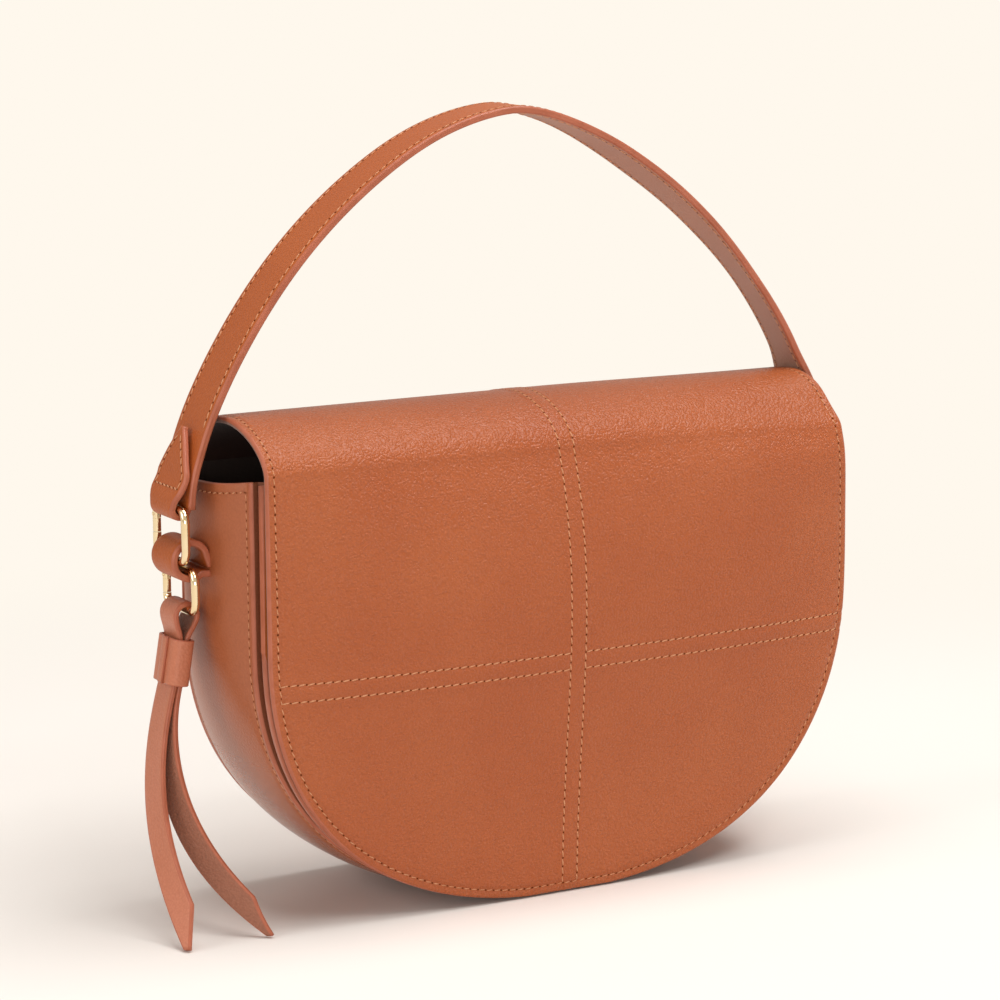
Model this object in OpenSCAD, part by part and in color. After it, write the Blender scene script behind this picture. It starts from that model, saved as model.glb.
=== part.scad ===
// Half-moon leather shoulder bag with a flap, a short handle on side rings and a tassel.
// X runs across the bag, Y from front to back, Z up. The origin is under the middle of the
// gusset, on the surface that the bag stands on.

/* [Panels] */
// Width of the front and back panels
panel_w = 244; // [220:1:250]
// Height of the rounded lower part of the panels
curve_h = 108; // [88:1:120]
// Squareness of the rounded part, where 2 is an ellipse
curve_power = 2.3; // [2:0.05:2.5]
// Height of the front panel's top edge
mouth_h = 169.4; // [155:0.2:171]
// How far the back panel's top edge, where the flap starts, lies below it
back_edge_drop = 4.4; // [1.4:0.2:15]
// Thickness of the front panel with its painted edge
panel_t = 4.2; // [3:0.1:5]
// Thickness of the back panel's leather
back_t = 2.4; // [1.5:0.1:4]
// Thickness of the stiffening boards
board_t = 1.4; // [0.8:0.1:2]
// Thickness of the lining cloth
lining_t = 0.8; // [0.5:0.1:1.2]

/* [Gusset] */
// Depth of the gusset between its front and back edges
gusset_d = 60; // [50:1:75]
// How far the gusset swells outwards in its middle
gusset_bulge = 10; // [6:0.5:11]
// Thickness of the gusset leather
gusset_t = 1.5; // [1:0.1:2]
// How far the gusset's top edge dips in its middle
rim_dip = 2.8; // [0:0.2:6]
// Depth of the recessed band between the gusset and the front panel
band_d = 7.5; // [5:0.5:10]
// How far the recessed band lies inside the panel's edge
band_inset = 3.5; // [2:0.1:5]

/* [Flap] */
// Width of the flap
flap_w = 250; // [235:1:252]
// Gap between the closed flap and the front panel
flap_gap = 1.6; // [1.6:0.1:2.5]
// Thickness of the flap's leather
flap_skin_t = 1.5; // [1:0.1:2]
// Thickness of the flap's lining
flap_lining_t = 1.2; // [0.9:0.1:1.6]
// How far the padded front stands out in its middle
flap_bulge = 9; // [3:0.5:12]
// Height of the flap's lowest edge above the ground
flap_lift_off = 0.6; // [0.4:0.1:4]
// How far above the front panel's top edge the front turns into the crown
shoulder_rise = 3.3; // [2.8:0.1:8.6]
// How far above that edge the crown's highest line lies
crown_rise = 21.6; // [16.6:0.2:26.6]
// How far that line lies ahead of the gusset's middle
crown_ahead = 12; // [4:0.5:15]
// Distance from the handle strap to the line at which the flap lifts
lift_line_gap = 3; // [2:0.5:8]

/* [Seam bands] */
// Half the width of the stitched bands that cross the flap
band_half = 4.5; // [3:0.5:10]
// How far the bands stand out from the leather under them
band_t = 0.5; // [0.3:0.1:1]
// Height of the level band's middle
seam_h = 92.8; // [86:0.1:99]

/* [Handle] */
// Width of the handle strap
strap_w = 26; // [20:0.5:27]
// Thickness of the handle strap
strap_t = 2.8; // [2:0.1:3.4]
// Distance from the bag's middle to the strap at its lower ends
strap_reach = 139.3; // [136:0.1:148]
// Rise of the strap's arch above the rings' top bars
strap_rise = 138; // [110:1:180]
// Squareness of the arch, where 2 is an ellipse
strap_power = 1.65; // [1.6:0.05:2.2]
// How far the rings' top bars lie below the front panel's top edge
ring_drop = 11.6; // [3.4:0.2:13.4]
// Length of the turned-over strap end above the ring
turnover_h = 28; // [22:1:40]
// Width of the strap where it folds round the ring
waist_w = 19; // [14:0.5:19]

/* [Rings] */
// Thickness of the ring wire
wire_d = 3.2; // [2.4:0.1:3.3]
// Ring width between the middles of its side bars
ring_w = 26; // [25.6:0.1:30]
// Height of the handle rings between the middles of their bars
ring_h = 19.7; // [19:0.1:24]
// Height of the tassel ring between the middles of its bars
tassel_ring_h = 15.4; // [15:0.1:22]
// Length of the sprung gate from its pin to its tip
gate_l = 6.6; // [5:0.1:7]
// Radius of the gate's pin
pin_r = 0.5; // [0.3:0.05:0.6]

/* [Side tabs] */
// Width of the leather loops on the gusset
tab_w = 19.5; // [14:0.5:19.5]
// Thickness of their leather
tab_t = 2.6; // [1.8:0.1:3]
// Radius of the hole that the rings hang in
tab_hole_r = 5.4; // [5.3:0.1:6]

/* [Tassel] */
// Width of the tassel strap
tail_w = 14; // [10:0.5:14.4]
// Thickness of the tassel strap
tail_t = 2.2; // [1.6:0.1:2.4]
// Height of the keeper band
keeper_h = 17.5; // [12:0.5:20]
// Thickness of the keeper band
keeper_t = 1.3; // [0.8:0.1:1.6]
// Sideways lean of the keeper, in degrees
keeper_lean = 9.7; // [0:0.1:12]
// Height of the tail tips above the ground
tip_h = 1.5; // [1:0.1:20]

/* [Snap] */
// Diameter of the magnetic snap
snap_d = 15; // [10:0.5:20]
// Height of the snap
snap_h = 55; // [40:1:110]
// Radius of the hole in the snap's socket
snap_hole_r = 3.2; // [3.2:0.1:4]
// Radius of the stud that enters it
stud_r = 2.4; // [1.6:0.1:2.4]

/* [Pocket] */
// Width of the inner pocket
pocket_w = 150; // [80:1:170]
// Height of the inner pocket
pocket_h = 75; // [50:1:85]
// How far the pocket's mouth lies below the back panel's top edge
pocket_drop = 28; // [15:1:35]

/* [Hidden] */

// Overrun of every cut past the face that it leaves
overrun = 1;
// Gap between soft pieces on different moving parts
soft_gap = 0.3;
// Gap between pieces that only just miss each other
slip_gap = 0.15;
// Steps round a quarter of the panels' outline, and up their straight sides
curve_steps = 14;
side_steps = 3;

half_w = panel_w / 2;
gusset_half = gusset_d / 2;
// Heights that follow the mouth of the bag
back_edge_h = mouth_h - back_edge_drop;
shoulder_h = mouth_h + shoulder_rise;
crown_top = mouth_h + crown_rise;
ring_top_h = mouth_h - ring_drop;
pocket_z = back_edge_h - pocket_drop - pocket_h;
band_y = -gusset_half - band_d;
front_y = band_y - panel_t;
flap_back_y = front_y - flap_gap;
skin_back_y = flap_back_y - flap_lining_t;
flap_y = skin_back_y - flap_skin_t;
back_y = gusset_half + back_t;

// Mirror a list of points left to right and turn its order round
function flipped(list) = [for (i = [len(list) - 1 : -1 : 0]) [-list[i][0], list[i][1]]];

// Right half of a panel's outline, from the resting edge up to the straight side
function curve_side(a, b, low) = [for (k = [1 : curve_steps])
    let (t = 90 * k / curve_steps, t1 = 90 / curve_steps)
    [a * pow(sin(t), 2 / curve_power),
     low + b * (pow(cos(t1), 2 / curve_power) - pow(cos(t), 2 / curve_power))]];

// Whole outline of a panel that lies inside the body's edge by an inset
function outline(inset, top) = let (
    side = curve_side(half_w - inset, curve_h - inset, inset),
    corner = [half_w - inset, top])
    concat(side, [corner, [-corner[0], top]], flipped(side));

// Faces of a closed slab between a front and a back grid of points
function grid_faces(n, m) = let (
    back = n * m,
    rim = concat([for (j = [0 : m - 1]) j], [for (i = [1 : n - 1]) i * m + m - 1],
        [for (j = [m - 2 : -1 : 0]) (n - 1) * m + j], [for (i = [n - 2 : -1 : 1]) i * m]),
    count = len(rim))
    concat(
        [for (i = [0 : n - 2], j = [0 : m - 2]) [i * m + j, (i + 1) * m + j + 1, i * m + j + 1]],
        [for (i = [0 : n - 2], j = [0 : m - 2]) [i * m + j, (i + 1) * m + j, (i + 1) * m + j + 1]],
        [for (i = [0 : n - 2], j = [0 : m - 2])
            [back + i * m + j, back + i * m + j + 1, back + (i + 1) * m + j + 1]],
        [for (i = [0 : n - 2], j = [0 : m - 2])
            [back + i * m + j, back + (i + 1) * m + j + 1, back + (i + 1) * m + j]],
        [for (k = [0 : count - 1]) let (a = rim[k], b = rim[(k + 1) % count]) [a, b, back + b]],
        [for (k = [0 : count - 1]) let (a = rim[k], b = rim[(k + 1) % count])
            [a, back + b, back + a]]);

module slab(front, back) {
    points = concat([for (row = front) each row], [for (row = back) each row]);
    polyhedron(points, grid_faces(len(front), len(front[0])));
}

// A flat sheet of the given outline, seen from the front, between two depths
module sheet(points, y0, y1) {
    translate([0, y1, 0]) rotate([90, 0, 0]) linear_extrude(y1 - y0) polygon(points);
}

// A strip along the panels' outline between two insets
module outline_strip(outer, inner, y0, y1, top) {
    difference() {
        sheet(outline(outer, top), y0, y1);
        sheet(outline(inner, top + overrun), y0 - overrun, y1 + overrun);
    }
}

// A round bar along Y, and one along X
module bar_y(r, x, y0, y1, z) {
    translate([x, y0, z]) rotate([-90, 0, 0]) cylinder(r = r, h = y1 - y0, $fn = 48);
}
module bar_x(r, x0, x1, y, z) {
    translate([x0, y, z]) rotate([0, 90, 0]) cylinder(r = r, h = x1 - x0, $fn = 48);
}

// Front panel, its board and its lining
front_inset = band_inset + gusset_t + soft_gap;
board_drop = 6;
lining_drop = 2;
socket_lip = 0.9;
sleeve_t = 0.6;
washer_t = 0.6;
washer_inset = 0.5;
washer_r = snap_d / 2 - washer_inset;
sleeve_depth = panel_t - gusset_t / 2;
board_y = band_y + board_t;

module front_panel() {
    color("#b06443") difference() {
        sheet(outline(0, mouth_h), front_y, band_y);
        bar_y(snap_hole_r + sleeve_t, 0, front_y - overrun, band_y + overrun, snap_h);
    }
}
module front_board() {
    color("#8d8577") difference() {
        sheet(outline(front_inset, mouth_h - board_drop), band_y, board_y);
        bar_y(washer_r, 0, band_y - overrun, board_y + overrun, snap_h);
    }
}
module front_lining() {
    color("#5b4a3f") sheet(outline(front_inset, mouth_h - lining_drop), board_y,
        board_y + lining_t);
}
module snap_socket() {
    color("#e4cf9c") difference() {
        union() {
            bar_y(snap_d / 2, 0, front_y - socket_lip, front_y, snap_h);
            bar_y(snap_hole_r + sleeve_t, 0, front_y - socket_lip, front_y + sleeve_depth, snap_h);
        }
        bar_y(snap_hole_r, 0, front_y - socket_lip - overrun, front_y + sleeve_depth + overrun,
            snap_h);
    }
}
module snap_socket_washer() {
    color("#c9c9c4") bar_y(washer_r, 0, band_y, band_y + washer_t, snap_h);
}

// Recessed band: a strip behind the front panel and the flange that joins it to the gusset
module front_band() {
    color("#7a402a") {
        outline_strip(band_inset, band_inset + gusset_t, band_y, -gusset_half, mouth_h);
        outline_strip(0, band_inset + gusset_t, -gusset_half - gusset_t, -gusset_half, mouth_h);
    }
}

// Gusset: one long strip that follows the outline and swells between its edges
swell_power = 3;
swell_side_power = 1.5;
gusset_columns = 8;
// Half width of the flat that the side tabs stand on
swell_flat = tab_w / 2 + soft_gap;
function outward(x, z, b) = let (
    zr = max(b - z, 0) / b,
    nx = sign(x) * pow(abs(x) / half_w, curve_power - 1) / half_w,
    nz = -pow(zr, curve_power - 1) / b) [nx, nz] / norm([nx, nz]);
function swell(y, z) = gusset_bulge * (1 - pow(1 - min(z / curve_h, 1), swell_power))
    * (1 - pow(max(abs(y) - swell_flat, 0) / (gusset_half - swell_flat), swell_side_power));
// Depth of each lengthwise row: half of them ahead of the flat and half behind it
function gusset_y(j) = let (half = gusset_columns / 2, run = gusset_half - swell_flat)
    j <= half ? -gusset_half + run * j / half : swell_flat + run * (j - half - 1) / half;
// The rim dips in its middle and runs down to the back panel's edge behind it
function rim_h(y) = mouth_h - rim_dip * (1 - pow(y / gusset_half, 2))
    - (mouth_h - back_edge_h + soft_gap) * max(y, 0) / gusset_half;
function gusset_row(x, z, inset) = let (n = outward(x, z, curve_h))
    [for (j = [0 : gusset_columns + 1]) let (y = gusset_y(j), out = swell(y, z) - inset)
        [x + n[0] * out, y, z + n[1] * out]];
function gusset_side(side, k, inset) = let (low = curve_side(half_w, curve_h, 0)[curve_steps - 1][1])
    [for (j = [0 : gusset_columns + 1]) let (
        y = gusset_y(j),
        z = low + (rim_h(y) - low) * k / side_steps)
        [side * (half_w + swell(y, z) - inset), y, z]];
function gusset_grid(inset) = let (right = curve_side(half_w, curve_h, 0), left = flipped(right))
    concat(
        [for (k = [side_steps : -1 : 1]) gusset_side(-1, k, inset)],
        [for (p = left) gusset_row(p[0], p[1], inset)],
        [for (p = right) gusset_row(p[0], p[1], inset)],
        [for (k = [1 : side_steps]) gusset_side(1, k, inset)]);

module gusset() {
    color("#a55b3c") slab(gusset_grid(0), gusset_grid(gusset_t));
}
module gusset_lining() {
    color("#5b4a3f") slab(gusset_grid(gusset_t), gusset_grid(gusset_t + lining_t));
}

// Back panel, its board, its lining and the pocket sewn to it
back_inset = gusset_t + lining_t + soft_gap;
back_board_y = gusset_half - board_t;
pocket_y = back_board_y - lining_t;

module back_panel() {
    color("#b06443") sheet(outline(0, back_edge_h), gusset_half, back_y);
}
module back_board() {
    color("#8d8577") sheet(outline(back_inset, back_edge_h - board_drop), back_board_y, gusset_half);
}
module back_lining() {
    color("#5b4a3f") sheet(outline(back_inset, back_edge_h - lining_drop), pocket_y, back_board_y);
}
module slip_pocket() {
    seam_w = 4;
    color("#5b4a3f") difference() {
        translate([-pocket_w / 2, pocket_y - 2 * lining_t, pocket_z])
            cube([pocket_w, 2 * lining_t, pocket_h]);
        translate([-pocket_w / 2 + seam_w, pocket_y - lining_t, pocket_z + seam_w])
            cube([pocket_w - 2 * seam_w, lining_t + overrun, pocket_h]);
    }
}

// Crown: the arch that carries the flap from the back panel over to the front
crown_steps = 18;
shoulder_power = 1.8;
front_run = -flap_y - crown_ahead;
back_run = back_y + crown_ahead;
lift_y = -strap_w / 2 - lift_line_gap;
function front_arc(inset) = [for (k = [0 : crown_steps]) let (t = 90 * k / crown_steps)
    [-crown_ahead - (front_run - inset) * pow(cos(t), 2 / shoulder_power),
     shoulder_h + (crown_top - shoulder_h - inset) * pow(sin(t), 2 / shoulder_power)]];
function back_arc(inset) = [for (k = [1 : crown_steps]) let (t = 90 * k / crown_steps)
    [-crown_ahead + (back_run - inset) * sin(t),
     back_edge_h + (crown_top - back_edge_h - inset) * cos(t)]];
function crown_line(inset) = concat(front_arc(inset), back_arc(inset));
function reversed(list) = [for (i = [len(list) - 1 : -1 : 0]) list[i]];
module crown(inner, outer) {
    translate([-flap_w / 2, 0, 0]) rotate([90, 0, 90]) linear_extrude(flap_w)
        polygon(concat(crown_line(outer), reversed(crown_line(inner))));
}
module crown_part(inner, outer, y0, y1) {
    intersection() {
        crown(inner, outer);
        translate([-flap_w / 2 - overrun, y0, 0])
            cube([flap_w + 2 * overrun, y1 - y0, crown_top + overrun]);
    }
}
flap_t = flap_skin_t + flap_lining_t;
module crown_front() {
    color("#b86a47") crown_part(flap_skin_t, 0, flap_y - overrun, lift_y - soft_gap);
}
module crown_front_lining() {
    color("#b08a78") crown_part(flap_t, flap_skin_t, flap_y - overrun, lift_y - soft_gap);
}
module crown_back() {
    color("#b86a47") crown_part(flap_skin_t, 0, lift_y, back_y + overrun);
}
module crown_back_lining() {
    color("#b08a78") crown_part(flap_t, flap_skin_t, lift_y, back_y + overrun);
}

// Seam band over the crown, in the same two parts
module crown_band(y0, y1) {
    color("#a85f3f") intersection() {
        crown(0, -band_t);
        translate([-band_half, y0, 0]) cube([2 * band_half, y1 - y0, crown_top + overrun]);
    }
}
module band_crown_front() {
    crown_band(flap_y - overrun, lift_y - soft_gap);
}
module band_crown_back() {
    crown_band(lift_y, back_y + overrun);
}

// Flap front: a padded half moon that hangs from the crown's shoulder
flap_side_steps = 6;
flap_half_columns = 6;
bulge_power = 2.5;
bulge_peak_power = 1.9;
// Least height between two rows of the skin's grid
row_gap = 1;
// Rows and columns of the skin's grid that the padding leaves out round its edge
pad_rows = 5;
pad_columns = 1;
flap_half = flap_w / 2;
flap_top = shoulder_h - soft_gap;
flap_arc = curve_side(flap_half, curve_h, flap_lift_off);
// Point of the flap's edge at a height of its own
function flap_edge(z) = let (q = max(pow(cos(90 / curve_steps), 2 / curve_power)
    - (z - flap_lift_off) / curve_h, 0))
    [flap_half * pow(1 - pow(q, curve_power), 1 / curve_power), z];
// Rows of the rounded part and of the straight sides, without those that lie on the level band,
// which has one row at each of its own edges
plain_levels = concat(flap_arc,
    [for (k = [1 : flap_side_steps]) let (low = flap_arc[curve_steps - 1][1])
        [flap_half, low + (flap_top - low) * k / flap_side_steps]]);
levels_below = [for (p = plain_levels) if (p[1] < seam_h - band_half - row_gap) p];
levels_above = [for (p = plain_levels) if (p[1] > seam_h + band_half + row_gap) p];
flap_levels = concat(levels_below,
    [flap_edge(seam_h - band_half), flap_edge(seam_h + band_half)], levels_above);
level_row = len(levels_below);
flap_curve = concat([for (p = flap_levels) if (p[0] < flap_half) p], [flap_arc[curve_steps - 1]]);
last_row = len(flap_levels) - 1;
last_column = 2 * flap_half_columns + 1;
function pillow(share, z) = let (rise = min(z / flap_top, 1))
    flap_bulge * (1 - pow(abs(share), bulge_power)) * sin(180 * pow(rise, bulge_peak_power));
// Columns stand at shares of each row's width, with one at each side of the upright band
function flap_x(half, j) = j <= flap_half_columns
    ? -half + (half - band_half) * j / flap_half_columns
    : band_half + (half - band_half) * (j - flap_half_columns - 1) / flap_half_columns;
// Rows run from the top edge down, columns from left to right
function flap_grid(y, swelled, rows, cols) = [for (i = [rows[1] : -1 : rows[0]])
    let (level = flap_levels[i])
    [for (j = [cols[0] : cols[1]]) let (x = flap_x(level[0], j))
        [x, y - (swelled ? pillow(x / level[0], level[1]) : 0), level[1]]]];
module flap_layer(outer_y, inner_y, rows, cols) {
    slab(flap_grid(outer_y, true, rows, cols), flap_grid(inner_y, true, rows, cols));
}

module flap_front() {
    color("#b06443") flap_layer(flap_y, skin_back_y, [0, last_row], [0, last_column]);
}
module flap_padding() {
    rows = [pad_rows, last_row - 1];
    cols = [pad_columns, last_column - pad_columns];
    color("#e9e2d2") slab(flap_grid(skin_back_y, true, rows, cols),
        flap_grid(skin_back_y, false, rows, cols));
}
module flap_lining() {
    corner = [flap_half, flap_top];
    color("#b08a78") difference() {
        sheet(concat(flap_curve, [corner, [-corner[0], corner[1]]], flipped(flap_curve)),
            skin_back_y, flap_back_y);
        bar_y(washer_r, 0, skin_back_y - overrun, skin_back_y + washer_t, snap_h);
        bar_y(shank_r, 0, skin_back_y, flap_back_y + overrun, snap_h);
    }
}

// Seam bands on the flap: one upright, and one level in two halves that butt against it
module band_upright() {
    cols = [flap_half_columns, flap_half_columns + 1];
    color("#a85f3f") flap_layer(flap_y - band_t, flap_y, [0, last_row], cols);
}
module band_level() {
    rows = [level_row, level_row + 1];
    color("#a85f3f") {
        flap_layer(flap_y - band_t, flap_y, rows, [0, flap_half_columns]);
        flap_layer(flap_y - band_t, flap_y, rows, [flap_half_columns + 1, last_column]);
    }
}

// Snap stud, through the flap's lining into its washer
shank_r = 1.4;
stud_lip = 0.5;
stud_l = 3;
module snap_stud() {
    color("#e4cf9c") {
        bar_y(snap_d / 2, 0, flap_back_y, flap_back_y + stud_lip, snap_h);
        bar_y(shank_r, 0, skin_back_y + washer_t, flap_back_y, snap_h);
        bar_y(stud_r, 0, flap_back_y, flap_back_y + stud_lip + stud_l, snap_h);
    }
}
module snap_stud_washer() {
    color("#c9c9c4") bar_y(washer_r, 0, skin_back_y, skin_back_y + washer_t, snap_h);
}

// Handle strap: two leather plies along one arch
strap_steps = 48;
function strap_point(t, off) = let (
    c = max(cos(t), 0),
    s = max(sin(t), 0),
    x = strap_reach * pow(abs(cos(t)), 2 / strap_power),
    z = strap_rise * pow(s, 2 / strap_power),
    nx = pow(x / strap_reach, strap_power - 1) / strap_reach,
    nz = pow(z / strap_rise, strap_power - 1) / strap_rise,
    n = [nx, nz] / norm([nx, nz]),
    side = t > 90 ? -1 : 1)
    [side * (x + n[0] * off), ring_top_h + z + n[1] * off];
module strap_ply(inner, outer) {
    line = [for (k = [0 : strap_steps]) strap_point(180 * k / strap_steps, outer)];
    back_line = [for (k = [strap_steps : -1 : 0]) strap_point(180 * k / strap_steps, inner)];
    color("#b06443") translate([0, strap_w / 2, 0]) rotate([90, 0, 0]) linear_extrude(strap_w)
        polygon(concat(line, back_line));
}
module strap_outer() {
    strap_ply(0, strap_t / 2);
}
module strap_lining() {
    strap_ply(-strap_t / 2, 0);
}

// Strap end: the fold round the ring's top bar and the pointed turnover outside it
ring_x = strap_reach + strap_t / 2 + slip_gap + wire_d / 2;
fold_r = wire_d / 2 + slip_gap;
turn_steps = 10;
closing_h = 10;
point_h = 15;
flare_h = 6;
turn_end = asin(pow(turnover_h / strap_rise, strap_power / 2));
function turn_gap(t) = let (h = strap_rise * pow(sin(t), 2 / strap_power))
    slip_gap + (2 * fold_r - slip_gap) * (h < closing_h ? (1 + cos(180 * h / closing_h)) / 2 : 0);
module strap_end(side) {
    inner = [for (k = [0 : turn_steps]) let (t = turn_end * k / turn_steps)
        strap_point(t, strap_t / 2 + turn_gap(t))];
    outer = [for (k = [turn_steps : -1 : 0]) let (t = turn_end * k / turn_steps)
        strap_point(t, 3 * strap_t / 2 + turn_gap(t))];
    tip_z = ring_top_h + turnover_h;
    mirror([side < 0 ? 1 : 0, 0, 0]) color("#a85f3f") {
        intersection() {
            translate([0, strap_w / 2, 0]) rotate([90, 0, 0]) linear_extrude(strap_w)
                polygon(concat(inner, outer));
            rotate([90, 0, 90]) linear_extrude(2 * ring_x) polygon([
                [-waist_w / 2, ring_top_h], [waist_w / 2, ring_top_h],
                [strap_w / 2, ring_top_h + flare_h], [strap_w / 2, tip_z - point_h],
                [0, tip_z],
                [-strap_w / 2, tip_z - point_h], [-strap_w / 2, ring_top_h + flare_h]]);
        }
        intersection() {
            difference() {
                bar_y(fold_r + strap_t, ring_x, -waist_w / 2, waist_w / 2, ring_top_h);
                bar_y(fold_r, ring_x, -waist_w / 2 - overrun, waist_w / 2 + overrun, ring_top_h);
            }
            translate([ring_x - fold_r - strap_t, -waist_w / 2, ring_top_h - fold_r - strap_t])
                cube([2 * (fold_r + strap_t), waist_w, fold_r + strap_t]);
        }
    }
}
module strap_end_left() {
    strap_end(-1);
}
module strap_end_right() {
    strap_end(1);
}

// Rings: a wire frame in a plane across X, with a hinged gate in its back bar
front_corner = 4;
back_corner = 3;
pin_drop = 1.9;
lap_r = wire_d / 2 - slip_gap / 2;
lap_gap = 0.05;
tip_gap = 0.3;
pin_play = 0.06;
wire_r = wire_d / 2;
module quarter(r, y, z, start) {
    translate([0, y, z]) rotate([90, 0, 90]) rotate([0, 0, start])
        rotate_extrude(angle = 90, $fn = 96) translate([r, 0]) circle(r = wire_r, $fn = 48);
}
module bar_z(z0, z1, y) {
    translate([0, y, z0]) cylinder(r = wire_r, h = z1 - z0, $fn = 48);
}
// A bar that ends at the pin as half of the wire, beside the ring's middle plane and rounded
// about the pin. It runs up from the pin where up is 1, and down from it where up is -1
module pinned_bar(side, up, length) {
    big = wire_r + overrun;
    mirror([side < 0 ? 1 : 0, 0, 0]) mirror([0, 0, up < 0 ? 1 : 0]) difference() {
        translate([0, 0, -lap_r]) cylinder(r = wire_r, h = lap_r + length, $fn = 48);
        translate([-big, -big, -lap_r - overrun])
            cube([big + lap_gap, 2 * big, 2 * lap_r + slip_gap + overrun]);
        difference() {
            translate([-big, -big, -lap_r - overrun]) cube([2 * big, 2 * big, lap_r + overrun]);
            bar_x(lap_r, -big - overrun, big + overrun, 0, 0);
        }
    }
}
module ring_frame(top, height) {
    y0 = -ring_w / 2;
    y1 = ring_w / 2;
    low = top - height;
    pin_z = top - back_corner - pin_drop;
    bar_y(wire_r, 0, y0 + front_corner, y1 - back_corner, top);
    bar_y(wire_r, 0, y0 + front_corner, y1 - back_corner, low);
    bar_z(low + front_corner, top - front_corner, y0);
    quarter(front_corner, y0 + front_corner, top - front_corner, 90);
    quarter(front_corner, y0 + front_corner, low + front_corner, 180);
    quarter(back_corner, y1 - back_corner, top - back_corner, 0);
    quarter(back_corner, y1 - back_corner, low + back_corner, 270);
    bar_z(low + back_corner, pin_z - gate_l - tip_gap, y1);
    difference() {
        translate([0, y1, pin_z]) pinned_bar(1, 1, pin_drop);
        bar_x(pin_r, -wire_r, wire_r, y1, pin_z);
    }
}
module gate_frame(top) {
    y1 = ring_w / 2;
    pin_z = top - back_corner - pin_drop;
    color("#f0d9a8") difference() {
        translate([0, y1, pin_z]) pinned_bar(-1, -1, gate_l);
        bar_x(pin_r + pin_play, -wire_r - overrun, wire_r, y1, pin_z);
    }
}
module gate_pin(top) {
    color("#f0d9a8") bar_x(pin_r, -wire_r + slip_gap, wire_r - slip_gap, ring_w / 2,
        top - back_corner - pin_drop);
}
module ring_left() {
    color("#f0d9a8") translate([-ring_x, 0, 0]) ring_frame(ring_top_h, ring_h);
}
module ring_right() {
    color("#f0d9a8") translate([ring_x, 0, 0]) ring_frame(ring_top_h, ring_h);
}
module gate_left() {
    translate([-ring_x, 0, 0]) gate_frame(ring_top_h);
}
module gate_right() {
    translate([ring_x, 0, 0]) gate_frame(ring_top_h);
}
module gate_pin_left() {
    translate([-ring_x, 0, 0]) gate_pin(ring_top_h);
}
module gate_pin_right() {
    translate([ring_x, 0, 0]) gate_pin(ring_top_h);
}

// Side tabs: a leather loop whose ends go into the gusset
pivot_h = ring_top_h - ring_h;
tassel_ring_x = ring_x - wire_d - 4 * lap_gap;
tab_r = tab_hole_r + tab_t;
// Offset of a ring's bar from the middle of the hole that it is seated in
seat_gap = 0.1;
seat = tab_hole_r - wire_r - seat_gap;
tab_x = ring_x - seat;
tab_z = pivot_h;
root_x = half_w + gusset_bulge;
root_h = 2 * tab_t;
module tab(side) {
    mirror([side < 0 ? 1 : 0, 0, 0]) color("#a85f3f") difference() {
        union() {
            intersection() {
                bar_y(tab_r, tab_x, -tab_w / 2, tab_w / 2, tab_z);
                translate([root_x, -tab_w / 2, tab_z - tab_r]) cube([2 * tab_r, tab_w, 2 * tab_r]);
            }
            translate([0, tab_w / 2, 0]) rotate([90, 0, 0]) linear_extrude(tab_w) polygon([
                [root_x, tab_z - tab_r], [tab_x, tab_z - tab_r],
                [tab_x, tab_z + tab_r], [root_x, tab_z - tab_r + root_h]]);
        }
        bar_y(tab_hole_r, tab_x, -tab_w / 2 - overrun, tab_w / 2 + overrun, tab_z);
    }
}
module tab_left() {
    tab(-1);
}
module tab_right() {
    tab(1);
}

// Tassel ring, hanging in the left tab
tassel_top_h = tab_z - seat;
module tassel_ring() {
    color("#f0d9a8") translate([-tassel_ring_x, 0, 0]) ring_frame(tassel_top_h, tassel_ring_h);
}
module tassel_gate() {
    translate([-tassel_ring_x, 0, 0]) gate_frame(tassel_top_h);
}
module tassel_gate_pin() {
    translate([-tassel_ring_x, 0, 0]) gate_pin(tassel_top_h);
}

// Tassel strap: a loop over the ring's lower bar, two plies through the keeper, two tails
loop_hole_r = 3.6;
loop_r = loop_hole_r + tail_t;
loop_x = -tassel_ring_x - tail_t / 3;
loop_z = tassel_top_h - tassel_ring_h + wire_r + slip_gap - loop_hole_r;
neck_drop = 8.8;
neck_x = loop_x - neck_drop * tan(keeper_lean);
neck_z = loop_z - neck_drop;
module leaning() {
    translate([neck_x, 0, neck_z]) rotate([0, keeper_lean, 0]) children();
}
module tassel_loop() {
    color("#ad6243") {
        difference() {
            union() {
                bar_y(loop_r, loop_x, -tail_w / 2, tail_w / 2, loop_z);
                translate([0, tail_w / 2, 0]) rotate([90, 0, 0]) linear_extrude(tail_w) polygon([
                    [loop_x - loop_r, loop_z], [neck_x - tail_t, neck_z],
                    [neck_x + tail_t, neck_z], [loop_x + loop_r, loop_z]]);
            }
            bar_y(loop_hole_r, loop_x, -tail_w / 2 - overrun, tail_w / 2 + overrun, loop_z);
            translate([0, tail_w / 2 + overrun, 0]) rotate([90, 0, 0])
                linear_extrude(tail_w + 2 * overrun) polygon([
                    [loop_x - loop_hole_r / 2, loop_z - loop_hole_r / 2],
                    [neck_x, neck_z + tail_t], [loop_x + loop_hole_r / 2, loop_z - loop_hole_r / 2]]);
        }
        leaning() translate([-tail_t, -tail_w / 2, -keeper_h]) cube([2 * tail_t, tail_w, keeper_h]);
    }
}
module tassel_keeper() {
    color("#a85f3f") leaning() difference() {
        translate([-tail_t - keeper_t - slip_gap, -tail_w / 2 - keeper_t - slip_gap, -keeper_h])
            cube([2 * (tail_t + keeper_t + slip_gap), tail_w + 2 * (keeper_t + slip_gap), keeper_h]);
        translate([-tail_t - slip_gap, -tail_w / 2 - slip_gap, -keeper_h - overrun])
            cube([2 * (tail_t + slip_gap), tail_w + 2 * slip_gap, keeper_h + 2 * overrun]);
    }
}

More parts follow.
